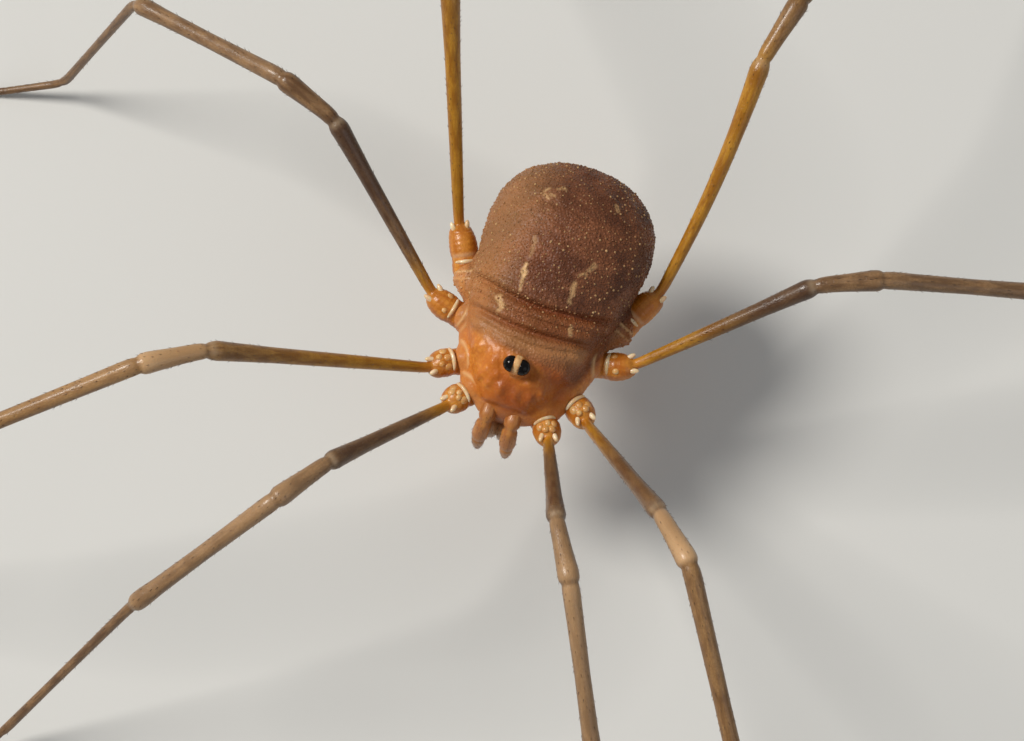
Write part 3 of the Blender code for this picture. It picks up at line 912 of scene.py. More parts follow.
def head_relief(x, y, rise):
    """Low swellings of the head shield, the same on both sides."""
    relief = np.zeros_like(x)
    for across, along, height, half_width, half_length in HEAD_SWELLS:
        relief += height * bell(np.abs(x), across, half_width) * bell(y, along, half_length)
    return relief * smoothstep(0.0, 0.4, rise)


def belly_relief(x, y, rise):
    """Cross furrows of the belly, the tongue-shaped cover plate and the folds of the flank."""
    below = smoothstep(-0.25, -0.6, rise)
    relief = np.zeros_like(x)
    for middle in BELLY_FURROWS:
        relief -= 0.05 * bell(y, middle - 0.05 * x ** 2, 0.09)
    half_width, front, rear = OPERCULUM
    width = half_width * (0.62 + 0.38 * smoothstep(front, rear, y))
    plate = smoothstep(0.12, -0.12, np.abs(x) - width) * smoothstep(front - 0.1, front + 0.2, y)
    plate *= smoothstep(rear + 0.15, rear - 0.1, y)
    folds = np.cos(rise * 2 * math.pi / FLANK_FOLD)
    flank = smoothstep(0.22, 0.0, rise) * smoothstep(-0.75, -0.45, rise) * smoothstep(1.9, 2.9, y)
    return relief * below + 0.14 * plate * below + 0.03 * folds * flank


# Cream rims round each hip's socket: distances past the shoulder (mm)
SOCKET_RIMS = {1: (-0.10, 0.10), 2: (-0.08, 0.14), 3: (-0.02, 0.16), 4: (0.04, 0.28)}
RIM_HALF_WIDTH = 0.042
RIM_REACH = 0.72


def socket_rims(points):
    """Nested rims on the hip lobes: how high and how cream they are."""
    total = np.zeros(len(points))
    for side in (LEFT, RIGHT):
        for pair, rims in SOCKET_RIMS.items():
            shoulder, way = hip_axis(pair, side)
            offset = points - shoulder - np.array([0.0, 0.0, LOBE_RAISE])
            ahead = offset @ way
            radial = offset - ahead[:, None] * way
            distance = np.linalg.norm(radial, axis=1)
            above = radial[:, 2] / np.maximum(distance, 1e-6)
            here = smoothstep(0.15, 0.65, above) * (distance < RIM_REACH)
            for place, strength in zip(rims, (0.55, 1.0)):
                total = np.maximum(total, strength * here * bell(ahead, place, RIM_HALF_WIDTH))
    return total


print("furrows on the back:", len(BACK_FURROWS), "and swellings on each side:", len(HEAD_SWELLS))

# %% [markdown]
# The colours of the back are painted by rule. The amber of the head gives way to a brown neck right behind
# the eyes. Pale dashes and blotches lie in two rows on the abdomen, a greyish stripe runs between the
# eyes, the roots of the legs are tinged with the belly's tan, and fine cream rims ring the sockets.
# Painted shade darkens the two deepest furrows and, in part, the head's left side and the left hind hips,
# and painted light in part makes the right flank a lighter tan.

# %% Markings of the trunk
# Pale dashes: from and to (mm), half width, strength
DASHES = (
    ((-0.93, 2.38), (-0.86, 1.98), 0.060, 0.85),
    ((-0.86, 1.98), (-0.76, 1.55), 0.045, 0.60),
    ((-1.01, 3.38), (-0.90, 2.70), 0.050, 0.26),
    ((-1.36, 1.16), (-1.16, 0.92), 0.080, 0.75),
    ((-1.16, 0.92), (-1.20, 0.74), 0.045, 0.45),
    ((-1.26, 5.10), (-1.16, 5.24), 0.050, 0.45),
    ((-1.22, 4.96), (-1.06, 4.86), 0.050, 0.50),
    ((-1.04, 5.02), (-0.90, 4.98), 0.045, 0.45),
    ((-0.86, 5.30), (-0.66, 5.42), 0.050, 0.30),
    ((0.83, 2.32), (0.88, 1.96), 0.065, 0.50),
    ((0.88, 1.96), (0.90, 1.70), 0.050, 0.40),
    ((1.20, 3.12), (1.08, 2.86), 0.065, 0.38),
    ((1.05, 2.74), (0.86, 2.66), 0.045, 0.35),
    ((1.26, 1.02), (1.30, 0.80), 0.050, 0.60),
    ((1.18, 5.48), (1.24, 5.34), 0.060, 0.35),
)
WAVER = 0.10                 # how far the edges of colours wander (mm)
STRIPE_HALF_WIDTH = 0.130


def dash_mask(points, rise):
    """How much of a pale dash covers each point."""
    x = points[:, 0] + 0.03 * ripple(points, 0.30, 31)
    y = points[:, 1] + 0.03 * ripple(points, 0.26, 32)
    mask = np.zeros_like(x)
    for start, end, half_width, strength in DASHES:
        start, run = np.array(start), np.array(end) - np.array(start)
        share = np.clip(((x - start[0]) * run[0] + (y - start[1]) * run[1]) / (run @ run), 0.0, 1.0)
        off = np.hypot(x - start[0] - share * run[0], y - start[1] - share * run[1])
        mask = np.maximum(mask, strength * smoothstep(half_width * 2.0, half_width * 0.2, off))
    return mask * (rise > 0.2)


def amber_share(points, waver, line, flesh):
    """Amber of the head, with a little on the first plate, the right flank and the hips, less on the left
    hind hips where it is partly painted shade.
    """
    x, y = points[:, 0], points[:, 1]
    head = 1 - smoothstep(-0.72, -0.20, line + 0.16 * x + waver)
    head *= 1 - 0.50 * bell(x, 1.45, 0.50) * bell(y, -0.30, 0.45)
    plate = 0.14 * (1 - smoothstep(0.9, 1.6, line + waver))
    flank = 0.60 * smoothstep(-0.9, -2.3, x) * (1 - smoothstep(0.6, 3.4, y + waver))
    # The left hind hips lose amber: partly a browner colour, partly painted shade beside the abdomen.
    hips_and_shade = flesh * (0.95 - 0.6 * smoothstep(0.5, 2.0, x) * smoothstep(0.4, 1.4, y))
    return np.clip(np.maximum.reduce([head, plate, flank, hips_and_shade]), 0.0, 1.0)


def russet_share(points, rise, amber, mound, flesh):
    """Red-brown of the head's front and of a flush on the abdomen, painted shade in the two deepest
    furrows, and red-brown that is partly painted shade on the head's left side.
    """
    x, y = points[:, 0], points[:, 1]
    # The head's left side turns red-brown: partly its own colour, partly painted shade on that side.
    left = smoothstep(-0.1, 1.1, x) * smoothstep(-1.9, -0.9, y)
    front = smoothstep(-1.00, -1.60, y) * smoothstep(1.3, 0.4, np.abs(x - 0.30))
    patches = 0.14 * smoothstep(0.2, 0.9, ripple(points, 1.3, 8))
    head = np.clip(0.46 * left + 0.52 * front + patches, 0.0, 0.75)
    head *= smoothstep(0.0, 0.5, amber) * (1 - 0.35 * mound) * (1 - 0.6 * flesh)
    flush = 0.28 * bell(x, -1.2, 1.0) * bell(y, 2.7, 1.1)
    # Painted shade: darker red-brown along the two deepest furrows of the back.
    crease_shade = np.maximum(bell(y, 0.38 + 0.09 * x ** 2, 0.11), bell(y, 1.20 + 0.10 * x ** 2, 0.12))
    crease_shade *= 0.42 * smoothstep(0.15, 0.55, rise)
    return np.maximum.reduce([head, flush, crease_shade])


def belly_share(points, rise, line, flesh):
    """Tan of the belly, of the hips (less on the left hind hips, partly painted shade), of the right flank
    (partly painted light) and of the neck behind the eyes.
    """
    x, y = points[:, 0], points[:, 1]
    under = smoothstep(-0.12, -0.50, rise + 0.1 * ripple(points, 1.1, 5)) * (1 - 0.7 * flesh)
    under *= 1 - 0.85 * smoothstep(-1.2, -1.8, y)
    # The hips' tan fades on the animal's left: partly its own colour, partly painted shade.
    hips_and_shade = flesh * (0.34 + 0.30 * smoothstep(0.7, 1.4, y)) * smoothstep(2.2, -0.5, x)
    # Tan on the right flank: partly its own colour, partly painted light on the side the lamp falls on.
    flank = 0.42 * smoothstep(-0.2, -2.4, x) * smoothstep(-0.2, 0.4, y)
    neck = 0.45 * bell(line, -0.05, 0.32) * smoothstep(0.2, 0.5, rise)
    return np.maximum.reduce([under, hips_and_shade, flank, neck])


def trunk_marks(points, rise, beyond, rims):
    """Numbers between 0 and 1 that the trunk's material reads."""
    x, y = points[:, 0], points[:, 1]
    waver = WAVER * ripple(points, 0.9, 3)
    line = y - 0.12 * x ** 2
    spread = np.hypot(x / MOUND_SIZE[0], (y - MOUND_AT[1]) / MOUND_SIZE[1])
    mound = smoothstep(1.15, 0.80, spread) * (rise > 0.15)
    flesh = smoothstep(0.02, 0.40, beyond) * (1 - smoothstep(3.0, 3.6, y))
    amber = amber_share(points, waver, line, flesh)
    belly = belly_share(points, rise, line, flesh)
    stripe = np.exp(-(x / STRIPE_HALF_WIDTH) ** 4) * mound * smoothstep(-1.24, -1.10, y)
    stripe *= 0.78 + 0.30 * ripple(points, 0.11, 11)
    pale = np.maximum.reduce([dash_mask(points, rise), stripe, 0.62 * rims])
    grain = smoothstep(0.2, 0.9, y - 0.10 * x ** 2) * (1 - 0.55 * belly)
    return {
        "amber": amber,
        "russet_and_shade": russet_share(points, rise, amber, mound, flesh),
        "belly": belly,
        "pale": np.clip(pale, 0.0, 1.0),
        "grain": np.clip(grain, 0.0, 1.0),
    }


print("pale dashes:", len(DASHES))

# %% [markdown]
# Now the fused trunk is dressed. The markings are stored by each point's place on the plain form,
# and the relief then moves the points along their own normals. The soft abdomen swings a little to
# the left at the end.

# %% Trunk skin
TRUNK_NODES = ("prosoma", "abdomen", "ocularium")


def trunk_unwrap(points):
    """Each point's place on a flat unwrap of the trunk, from 0 to 1 both ways."""
    around = np.arctan2(points[:, 0], points[:, 2] - 7.0) / (2 * math.pi) + 0.5
    along = (points[:, 1] + 2.4) / 9.6
    return np.stack([along, around, np.zeros_like(along)], axis=-1) * 0.96 + 0.02


def dress_trunk(item, points):
    """Add relief and markings to the fused trunk."""
    normals = place_points(item, points)
    rise, beyond = rise_of(points), beyond_trunk(points)
    x, y = points[:, 0], points[:, 1]
    rims = socket_rims(points) * smoothstep(-0.02, 0.06, beyond)
    relief = furrow_relief(x, y, rise) + head_relief(x, y, rise) + belly_relief(x, y, rise)
    relief *= 1 - smoothstep(0.25, 0.70, beyond)
    relief += 0.016 * ripple(points, 0.75, 21) + 0.010 * ripple(points, 0.32, 22)
    relief += 0.005 * ripple(points, 0.17, 23) + 0.035 * rims
    relief *= smoothstep(6.95, 6.80, y) * smoothstep(-2.02, -1.92, y)
    marks = trunk_marks(points, rise, beyond, rims)
    marks["lie"] = np.zeros_like(points) + np.array([0.0, 1.0, 0.15])
    marks["place"] = trunk_unwrap(points)
    store_marks(item, marks)
    shaped = points + normals * relief[:, None]
    shaped[:, 0] += ABDOMEN_SWING * smoothstep(1.0, 3.8, y)
    shaped[:, 1] -= ABDOMEN_TUCK * smoothstep(3.5, 7.0, y)
    place_points(item, shaped)
    item.data.shade_smooth()


dress_trunk(trunk, trunk_points)
print("trunk skin points:", len(trunk.data.vertices))

# %% [markdown]
# The eyes are glossy domes that look sideways from the mound. Each is a ball whose inner side is
# flat and hidden in the mound. It is a touch larger than its solid and closer to the midline, so
# that no gap shows round it.

# %% Eyes
EYE_AT = Vector((0.185, -0.89, 8.57))
EYE_RADIUS = 0.285
EYE_FACE = 0.12              # distance of the flat inner side from the midline


def build_eye(side):
    """One eye, turned so that its smooth pole looks sideways."""
    bm = bmesh.new()
    bmesh.ops.create_uvsphere(bm, u_segments=40, v_segments=28, radius=EYE_RADIUS)
    quarter = Matrix.Rotation(math.radians(90), 4, "Y")
    bmesh.ops.transform(bm, matrix=quarter, verts=bm.verts)
    for vert in bm.verts:
        vert.co = Vector((side * EYE_AT.x, EYE_AT.y, EYE_AT.z)) + vert.co
        if vert.co.x * side < EYE_FACE:
            vert.co.x = side * EYE_FACE
    bmesh.ops.dissolve_degenerate(bm, dist=1e-4, edges=bm.edges)
    mesh = bpy.data.meshes.new("eye")
    bmesh.ops.recalc_face_normals(bm, faces=bm.faces)
    bm.to_mesh(mesh)
    bm.free()
    mesh.shade_smooth()
    eye = bpy.data.objects.new("eye_lens_" + SIDE_NAMES[side], mesh)
    bpy.context.scene.collection.objects.link(eye)
    return eye


for side in (LEFT, RIGHT):
    settle(build_eye(side), EYE_FINISH, ["eye_" + SIDE_NAMES[side]])

# %% [markdown]
# A leg is one skin from the hip to the tip of the foot. Its centre line runs through the joints,
# which stand where the solids have them, and every bend is rounded. The radius changes along it:
# a swollen hip, a thin start of the thigh, club-shaped knees, and a foot that thins to a claw.

# %% Leg stance
# Femur, patella, tibia, metatarsus and tarsus (mm)
SEGMENT_LENGTHS = {
    1: (6.05, 2.30, 6.40, 8.20, 10.5),
    2: (9.30, 2.35, 9.40, 11.20, 17.5),
    3: (6.95, 2.25, 6.50, 7.60, 11.0),
    4: (8.85, 2.40, 8.20, 11.00, 14.5),
}
# Heading and pitch of femur, patella and tibia, heading of the metatarsus, first and last heading
# of the tarsus, in degrees
STANCE = {
    (1, LEFT): ((19.5, 49.9), (30.4, 9.3), (30.1, -32.0), 33.0, (34.0, 46.0)),
    (1, RIGHT): ((34.6, 33.7), (30.8, 13.2), (39.4, -31.6), 36.4, (38.0, 52.0)),
    (2, LEFT): ((39.7, 54.9), (43.8, 25.8), (35.7, -26.0), 40.0, (44.0, 62.0)),
    (2, RIGHT): ((62.4, 35.6), (52.6, 14.6), (53.1, -22.0), 55.0, (54.0, 40.0)),
    (3, LEFT): ((128.0, 27.2), (113.7, 5.2), (112.4, -20.0), 104.0, (100.0, 84.0)),
    (3, RIGHT): ((126.1, 29.7), (107.2, 7.6), (104.8, -20.7), 61.0, (68.0, 84.0)),
    (4, LEFT): ((175.0, 29.4), (166.9, 14.6), (160.0, -24.0), 158.0, (152.0, 136.0)),
    (4, RIGHT): ((155.3, 44.5), (150.0, 12.0), (148.0, -26.0), 150.0, (146.0, 132.0)),
}
FEMUR_BOW = {(4, LEFT): 0.20}          # how far a thigh bows sideways (mm)
ANKLE_HEIGHT = 0.95
TOUCHDOWN = 0.24                       # share of the tarsus that slopes down to the floor
REST_HEIGHT = 0.201                    # centre line of the solid foot where it lies flat
TIP_HEIGHT = 0.062
FOOT_STEPS = 5
LIFT_FROM = 0.6                        # share of the flat foot at which its centre line sinks
BEND_TRIM = 0.55
BEND_STEPS = 16
CLAW_LENGTH = 0.34


def direction(side, heading, pitch):
    """Unit vector of a leg segment from its heading and pitch in degrees."""
    turned, lifted = math.radians(heading), math.radians(pitch)
    return np.array([side * math.sin(turned) * math.cos(lifted),
                     -math.cos(turned) * math.cos(lifted),
                     math.sin(lifted)])


def tarsus_points(ankle, side, length, headings):
    """Corners of a foot that comes down from the ankle and lies along the floor."""
    slope_length = TOUCHDOWN * length
    drop = math.degrees(math.asin((ankle[2] - REST_HEIGHT) / slope_length))
    points = [ankle + direction(side, headings[0], -drop) * slope_length]
    for step in range(1, FOOT_STEPS + 1):
        share = step / FOOT_STEPS
        heading = headings[0] + (headings[1] - headings[0]) * (share - 0.5 / FOOT_STEPS)
        point = points[-1] + direction(side, heading, 0.0) * (length - slope_length) / FOOT_STEPS
        sinking = max(0.0, share - LIFT_FROM) / (1 - LIFT_FROM)
        point[2] = REST_HEIGHT + (TIP_HEIGHT - REST_HEIGHT) * sinking
        points.append(point)
    return points


def leg_corners(pair, side):
    """Corners of one leg from the coxa's inner end to the tip of the tarsus."""
    femur, patella, tibia, metatarsus_heading, tarsus_headings = STANCE[pair, side]
    lengths = SEGMENT_LENGTHS[pair]
    corners = []
    for place in (COXA_ROOT, COXA_SHOULDER, TROCHANTER, HIP):
        across, along, height = place[pair]
        corners.append(np.array([side * across, along, height]))
    for (heading, pitch), length in zip((femur, patella, tibia), lengths):
        corners.append(corners[-1] + direction(side, heading, pitch) * length)
    drop = math.degrees(math.asin((corners[-1][2] - ANKLE_HEIGHT) / lengths[3]))
    corners.append(corners[-1] + direction(side, metatarsus_heading, -drop) * lengths[3])
    corners.extend(tarsus_points(corners[-1], side, lengths[4], tarsus_headings))
    return corners


def bent_path(corners):
    """Round every corner; return the path, distances along it and each corner's distance."""
    points = [corners[0]]
    middles = []
    for before, corner, after in zip(corners[:-2], corners[1:-1], corners[2:]):
        into, out = corner - before, after - corner
        trim_in = min(BEND_TRIM, 0.45 * np.linalg.norm(into))
        trim_out = min(BEND_TRIM, 0.45 * np.linalg.norm(out))
        start = corner - into / np.linalg.norm(into) * trim_in
        end = corner + out / np.linalg.norm(out) * trim_out
        for step in range(BEND_STEPS + 1):
            t = step / BEND_STEPS
            points.append(start * (1 - t) ** 2 + corner * 2 * t * (1 - t) + end * t ** 2)
            if step == BEND_STEPS // 2:
                middles.append(len(points) - 1)
    points.append(corners[-1])
    path = np.array(points)
    steps = np.linalg.norm(np.diff(path, axis=0), axis=1)
    distances = np.concatenate([[0.0], np.cumsum(steps)])
    return path, distances, distances[middles]


legs = {}
for pair, side in STANCE:
    path, distances, middles = bent_path(leg_corners(pair, side))
    names = ("hip", "knee", "patella_end", "tibia_end", "ankle")
    legs[pair, side] = {"path": path, "distances": distances, "end": distances[-1] - CLAW_LENGTH,
                        **dict(zip(names, middles[2:7]))}
    print("leg", pair, SIDE_NAMES[side], "is", round(distances[-1], 1), "mm along")

# %% [markdown]
# Stations give the radius at shares of each segment, and a short blur rounds them. Rings of points
# stand close together where the shape changes fast and wide apart along the shafts, which saves
# faces where none are needed.

# %% Leg profiles
LEG_SIDES = 28
# Share of the segment and the radius there (mm)
LEG_PROFILES = {
    "coxa": (
        (0.00, 0.20), (0.30, 0.31), (0.48, 0.43), (0.57, 0.465), (0.625, 0.45), (0.655, 0.435),
        (0.69, 0.450), (0.73, 0.485), (0.80, 0.485), (0.88, 0.450), (0.94, 0.39), (0.975, 0.31),
        (1.00, 0.19),
    ),
    "femur": (
        (0.00, 0.175), (0.02, 0.18), (0.10, 0.195), (0.40, 0.235),
        (0.70, 0.265), (0.88, 0.31), (0.955, 0.335), (0.985, 0.29), (1.00, 0.225),
    ),
    "patella": (
        (0.00, 0.22), (0.04, 0.265), (0.14, 0.275), (0.40, 0.295),
        (0.65, 0.330), (0.85, 0.360), (0.94, 0.355), (0.98, 0.315), (1.00, 0.265),
    ),
    "tibia": (
        (0.00, 0.26), (0.015, 0.295), (0.06, 0.300), (0.20, 0.285), (0.50, 0.265),
        (0.80, 0.285), (0.92, 0.320), (0.965, 0.315), (0.99, 0.24), (1.00, 0.165),
    ),
    "metatarsus": (
        (0.00, 0.150), (0.01, 0.185), (0.05, 0.175), (0.30, 0.160),
        (0.65, 0.150), (0.94, 0.160), (0.985, 0.155), (1.00, 0.120),
    ),
    "tarsus": (
        (0.00, 0.115), (0.01, 0.140), (0.20, 0.130), (0.50, 0.115),
        (0.78, 0.100), (0.95, 0.080), (1.00, 0.050),
    ),
}
BLUR = 0.045
TABLE_STEP = 0.01


def leg_spans(leg):
    """Start and end of every segment along the leg."""
    stops = [0.0] + [leg[key] for key in ("hip", "knee", "patella_end", "tibia_end", "ankle", "end")]
    return dict(zip(LEG_PROFILES, zip(stops[:-1], stops[1:])))


def radius_table(leg):
    """Distances along the leg and the blurred radius at each."""
    places, radii = [], []
    for kind, (start, end) in leg_spans(leg).items():
        for share, radius in LEG_PROFILES[kind]:
            places.append(start + share * (end - start) + (1e-4 if share == 0 else 0))
            radii.append(radius)
    distance = np.arange(0.0, leg["end"], TABLE_STEP)
    reach = int(3 * BLUR / TABLE_STEP)
    weights = np.exp(-0.5 * (np.arange(-reach, reach + 1) * TABLE_STEP / BLUR) ** 2)
    plain = np.pad(np.interp(distance, places, radii), reach, mode="edge")
    return distance, np.convolve(plain, weights / weights.sum(), mode="valid")


def ring_places(leg):
    """Where the rings of the skin stand: close at the joints, wide on the shafts."""
    joints = [leg[key] for key in ("knee", "patella_end", "tibia_end", "ankle")]
    places = [0.0]
    while places[-1] < leg["end"]:
        here = places[-1]
        step = 0.035 if here < leg["hip"] + 0.2 else 0.15
        if min(abs(here - joint) for joint in joints) < 0.55:
            step = 0.05
        if here > leg["ankle"] + 0.5:
            step = 0.075
        places.append(here + step)
    return np.array(places[:-1] + [leg["end"]])


def leg_centres(leg, places, radii, key):
    """Centre line of the skin, which lies lower than the solid's where the foot is thinner."""
    centres = np.stack([np.interp(places, leg["distances"], leg["path"][:, axis])
                        for axis in range(3)], axis=1)
    heading = STANCE[key][0][0]
    bow = direction(key[1], heading - 90.0, 0.0) * FEMUR_BOW.get(key, 0.0)
    share = np.clip((places - leg["hip"]) / (leg["knee"] - leg["hip"]), 0.0, 1.0)
    centres += np.sin(math.pi * share)[:, None] * bow
    slope = TOUCHDOWN * SEGMENT_LENGTHS[key[0]][4]
    lying = np.clip((places - leg["ankle"]) / slope, 0.0, 1.0)
    resting = np.minimum(centres[:, 2], REST_HEIGHT)
    centres[:, 2] -= lying * (resting - radii * 0.96)
    return centres


print("rings on the first leg:", len(ring_places(legs[1, LEFT])))

# %% [markdown]
# Every leg has its own run of colour. The hips are amber, the thighs start amber and turn brown at a place
# that differs from leg to leg, and the hind thighs stay amber for longest. Some thighs are darker before
# the knee, partly their own colour and partly painted shade, patellas and the starts of shins are paler on
# some legs, and a pale spot sits on the back of each knee. A pale ring across the top of each hip is
# partly a painted highlight. These shares are stored on the skin.

# %% Leg colours
# Share of the femur at which brown begins and ends, how brown the leg is from there on, how pale its
# patella and its tibia are, and how dark the femur is before the knee, partly its own colour and partly
# painted shade
BROWNING = {
    (1, LEFT): (0.02, 0.35, 1.00, 0.50, 0.55, 0.35),
    (1, RIGHT): (0.00, 0.30, 1.00, 0.32, 0.40, 0.38),
    (2, LEFT): (0.02, 0.50, 0.85, 0.90, 0.12, 0.42),
    (2, RIGHT): (0.20, 1.00, 0.75, 0.85, 0.30, 0.00),
    (3, LEFT): (0.20, 0.85, 1.00, 0.05, 0.10, 0.62),
    (3, RIGHT): (0.02, 0.30, 1.00, 0.00, 0.20, 0.75),
    (4, LEFT): (0.85, 1.20, 0.85, 0.00, 0.15, 0.00),
    (4, RIGHT): (0.60, 1.50, 0.60, 0.10, 0.20, 0.00),
}


def leg_marks(leg, places, key):
    """Numbers between 0 and 1 that the leg's material reads, for every point."""
    spans = leg_spans(leg)
    share = {kind: (places - start) / (end - start) for kind, (start, end) in spans.items()}
    begins, ends, most, pale_patella, pale_tibia, dark = BROWNING[key]
    brown = most * smoothstep(begins, ends, share["femur"])
    warm = 0.70 * smoothstep(0.10, -0.06, share["femur"])
    # Darker before the knee: partly the leg's own dark brown, partly painted shade.
    dark_and_shade = dark * smoothstep(0.10, 0.70, share["femur"]) * smoothstep(1.04, 0.95, share["femur"])
    back = np.cos(2 * math.pi * np.arange(LEG_SIDES) / LEG_SIDES)[None, :]
    dorsal = smoothstep(0.1, 0.8, back)
    patella = smoothstep(-0.02, 0.08, share["patella"]) * smoothstep(1.02, 0.94, share["patella"])
    tibia = smoothstep(-0.01, 0.02, share["tibia"]) * smoothstep(1.01, 0.97, share["tibia"])
    light = (pale_patella * patella * (0.62 + 0.38 * bell(share["patella"], 0.9, 0.25))
             + pale_tibia * tibia * (0.55 + 0.45 * bell(share["tibia"], 0.0, 0.35))
             + 0.18 * bell(share["tibia"], 0.96, 0.03) + 0.15 * bell(share["metatarsus"], 0.02, 0.03))
    knee_spot = bell(share["femur"], 0.985, 0.016)
    # A pale ring across the top of the hip, where the crescent sits: partly a pale joint, partly a painted
    # highlight.
    hip_ring_highlight = bell(share["coxa"], 0.70, 0.018)
    light = light[:, None] * (0.45 + 0.55 * dorsal)
    pale = 0.15 * knee_spot[:, None] * dorsal + 0.3 * hip_ring_highlight[:, None] * dorsal
    return {
        "brown": all_round(brown, LEG_SIDES),
        "warm": all_round(warm, LEG_SIDES),
        "dark_and_shade": all_round(dark_and_shade, LEG_SIDES),
        "light": np.clip(light, 0.0, 1.0),
        "pale": np.clip(pale, 0.0, 1.0),
    }


print("legs with a colour run of their own:", len(BROWNING))

# %% [markdown]
# Each leg's skin is one sweep along its centre line. Ring folds on the hip and the many small false
# joints of the foot are added by formula. The skin also stores a place in millimetres, which the
# streaks of its finish follow, and a place on its unwrap, which its setae take.

# %% Leg skins
HAIRY_FROM = 0.3             # mm past the hip at which setae begin
HIP_FOLD = 0.17              # mm from one ring fold of the hip to the next
HIP_FOLD_HEIGHT = 0.005
TARSOMERE = 0.30             # mm from one false joint of the foot to the next
TARSOMERE_WAIST = 0.09


def leg_name(pair, side):
    """Start of the names of a leg's nodes and pieces."""
    return "leg" + str(pair) + "_" + SIDE_NAMES[side]


def build_leg(pair, side, number):
    """The skin of one leg from the hip to the claw."""
    leg = legs[pair, side]
    places = ring_places(leg)
    radii = np.interp(places, *radius_table(leg))
    on_foot = smoothstep(leg["ankle"] + 0.6, leg["ankle"] + 1.2, places)
    phase = (places - leg["ankle"]) / TARSOMERE
    radii *= 1 - TARSOMERE_WAIST * on_foot * bell(phase, np.round(phase), 0.16)
    on_hip = smoothstep(leg["hip"] * 0.45, leg["hip"] * 0.55, places) * (places < leg["hip"])
    radii += HIP_FOLD_HEIGHT * on_hip * np.cos(places * 2 * math.pi / HIP_FOLD)
    centres = leg_centres(leg, places, radii, (pair, side))
    along, upward, sideways = path_frames(centres)
    grid = sweep(centres, upward, sideways, all_round(radii, LEG_SIDES))
    grid[..., 2] = np.maximum(grid[..., 2], 0.0)
    marks = leg_marks(leg, places, (pair, side))
    marks["grain"] = all_round(places > leg["hip"] + HAIRY_FROM, LEG_SIDES)
    marks["lie"] = all_round(along, LEG_SIDES)
    turns = 2 * math.pi * np.arange(LEG_SIDES) / LEG_SIDES
    flat = np.zeros((len(places), LEG_SIDES, 3))
    flat[..., 0] = places[:, None]
    flat[..., 1] = (np.abs(turns - math.pi) * 0.3)[None, :]
    flat[..., 2] = number
    marks["place_mm"] = flat
    unwrap = np.zeros_like(flat)
    unwrap[..., 0] = 0.02 + 0.96 * places[:, None] / leg["end"]
    unwrap[..., 1] = (number + 0.05 + 0.9 * turns[None, :] / (2 * math.pi)) / 8
    marks["place"] = unwrap
    marks = {key: with_hubs(value) for key, value in marks.items()}
    leg.update(places=places, radii=radii, centres=centres)
    leg.update(along=along, upward=upward, sideways=sideways)
    faces = grid_faces(len(places), LEG_SIDES)
    return add_mesh(leg_name(pair, side) + "_skin", with_hubs(grid), faces, marks)


leg_skins = {}
for number, (pair, side) in enumerate(STANCE):
    leg_skins[pair, side] = build_leg(pair, side, number)
    print(leg_skins[pair, side].name, len(leg_skins[pair, side].data.vertices), "points")

# %% [markdown]
# Round the hips sit cream ridges and knobs: a crescent where the trochanter leaves the coxa, whose cream
# across its top is partly a painted highlight, round bumps on the trochanter and two blunt teeth that hold
# the start of the thigh. The two front pairs have five bumps on each hip, the third pair has two and the
# last has none. All are small closed shapes set on the leg's own rings, so they stay on it however the
# stance changes.

# %% Hip ornaments


def knob(centre, axes, sizes):
    """A closed, rounded knob with its long axis first."""
    ball, faces = unit_ball(14, 10)
    return centre + (ball * np.array(sizes)) @ np.array(axes), faces


def tapered_tube(path, radii, sides):
    """A closed tube along a few points, as points and faces."""
    path = np.array(path)
    along = np.gradient(path, axis=0)
    along /= np.linalg.norm(along, axis=1)[:, None]
    guide = np.array([0.31, 0.12, 0.94])
    upward = guide - along * (along @ guide)[:, None]
    upward /= np.linalg.norm(upward, axis=1)[:, None]
    grid = sweep(path, upward, np.cross(along, upward), all_round(radii, sides))
    return with_hubs(grid), grid_faces(len(path), sides)


def leg_frame(leg, distance, turn):
    """Place on a leg's skin: centre and radius there, with the axes outward, along and across."""
    ring = int(np.searchsorted(leg["places"], distance))
    along, upward, sideways = leg["along"][ring], leg["upward"][ring], leg["sideways"][ring]
    outward = upward * math.cos(turn) + sideways * math.sin(turn)
    return leg["centres"][ring], leg["radii"][ring], (outward, along, np.cross(outward, along))


CRESCENT_HALF_TURN = 0.95
CRESCENT_THICKNESS = 0.078
CRESCENT_THINNEST = 0.012


def crescent(leg, distance, swell):
    """A raised ridge across the back of a leg, thin at both ends."""
    path, radii = [], []
    for share in np.linspace(-1.0, 1.0, 25):
        centre, radius, (outward, _, _) = leg_frame(leg, distance, share * CRESCENT_HALF_TURN)
        path.append(centre + outward * (radius + swell))
        fullness = math.cos(share * math.pi / 2) ** 0.4
        radii.append(max(CRESCENT_THINNEST, CRESCENT_THICKNESS * fullness))
    return tapered_tube(path, radii, 8)


# Bumps on the hips: share of the coxa, turn from the top and size, for the front and hind legs
FRONT_BUMPS = (
    (0.795, -0.62, 0.155), (0.790, 0.00, 0.145), (0.800, 0.62, 0.160),
    (0.865, -0.33, 0.140), (0.870, 0.36, 0.140),
)
HIND_BUMPS = {3: ((0.78, -0.55, 0.130), (0.80, 0.62, 0.135)), 4: ()}
BUMP_HEIGHT = 0.105
BUMP_SINK = 0.060
# Where the crescent lies (share of the coxa), if not at the usual place; its cream is partly a painted
# highlight
CRESCENT = 0.700
CRESCENTS = {(1, LEFT): 0.690, (2, RIGHT): 0.715, (4, LEFT): 0.645, (4, RIGHT): 0.635}
TOOTH_PLACE = 0.965
TOOTH_SIZE = (0.200, 0.092, 0.088)


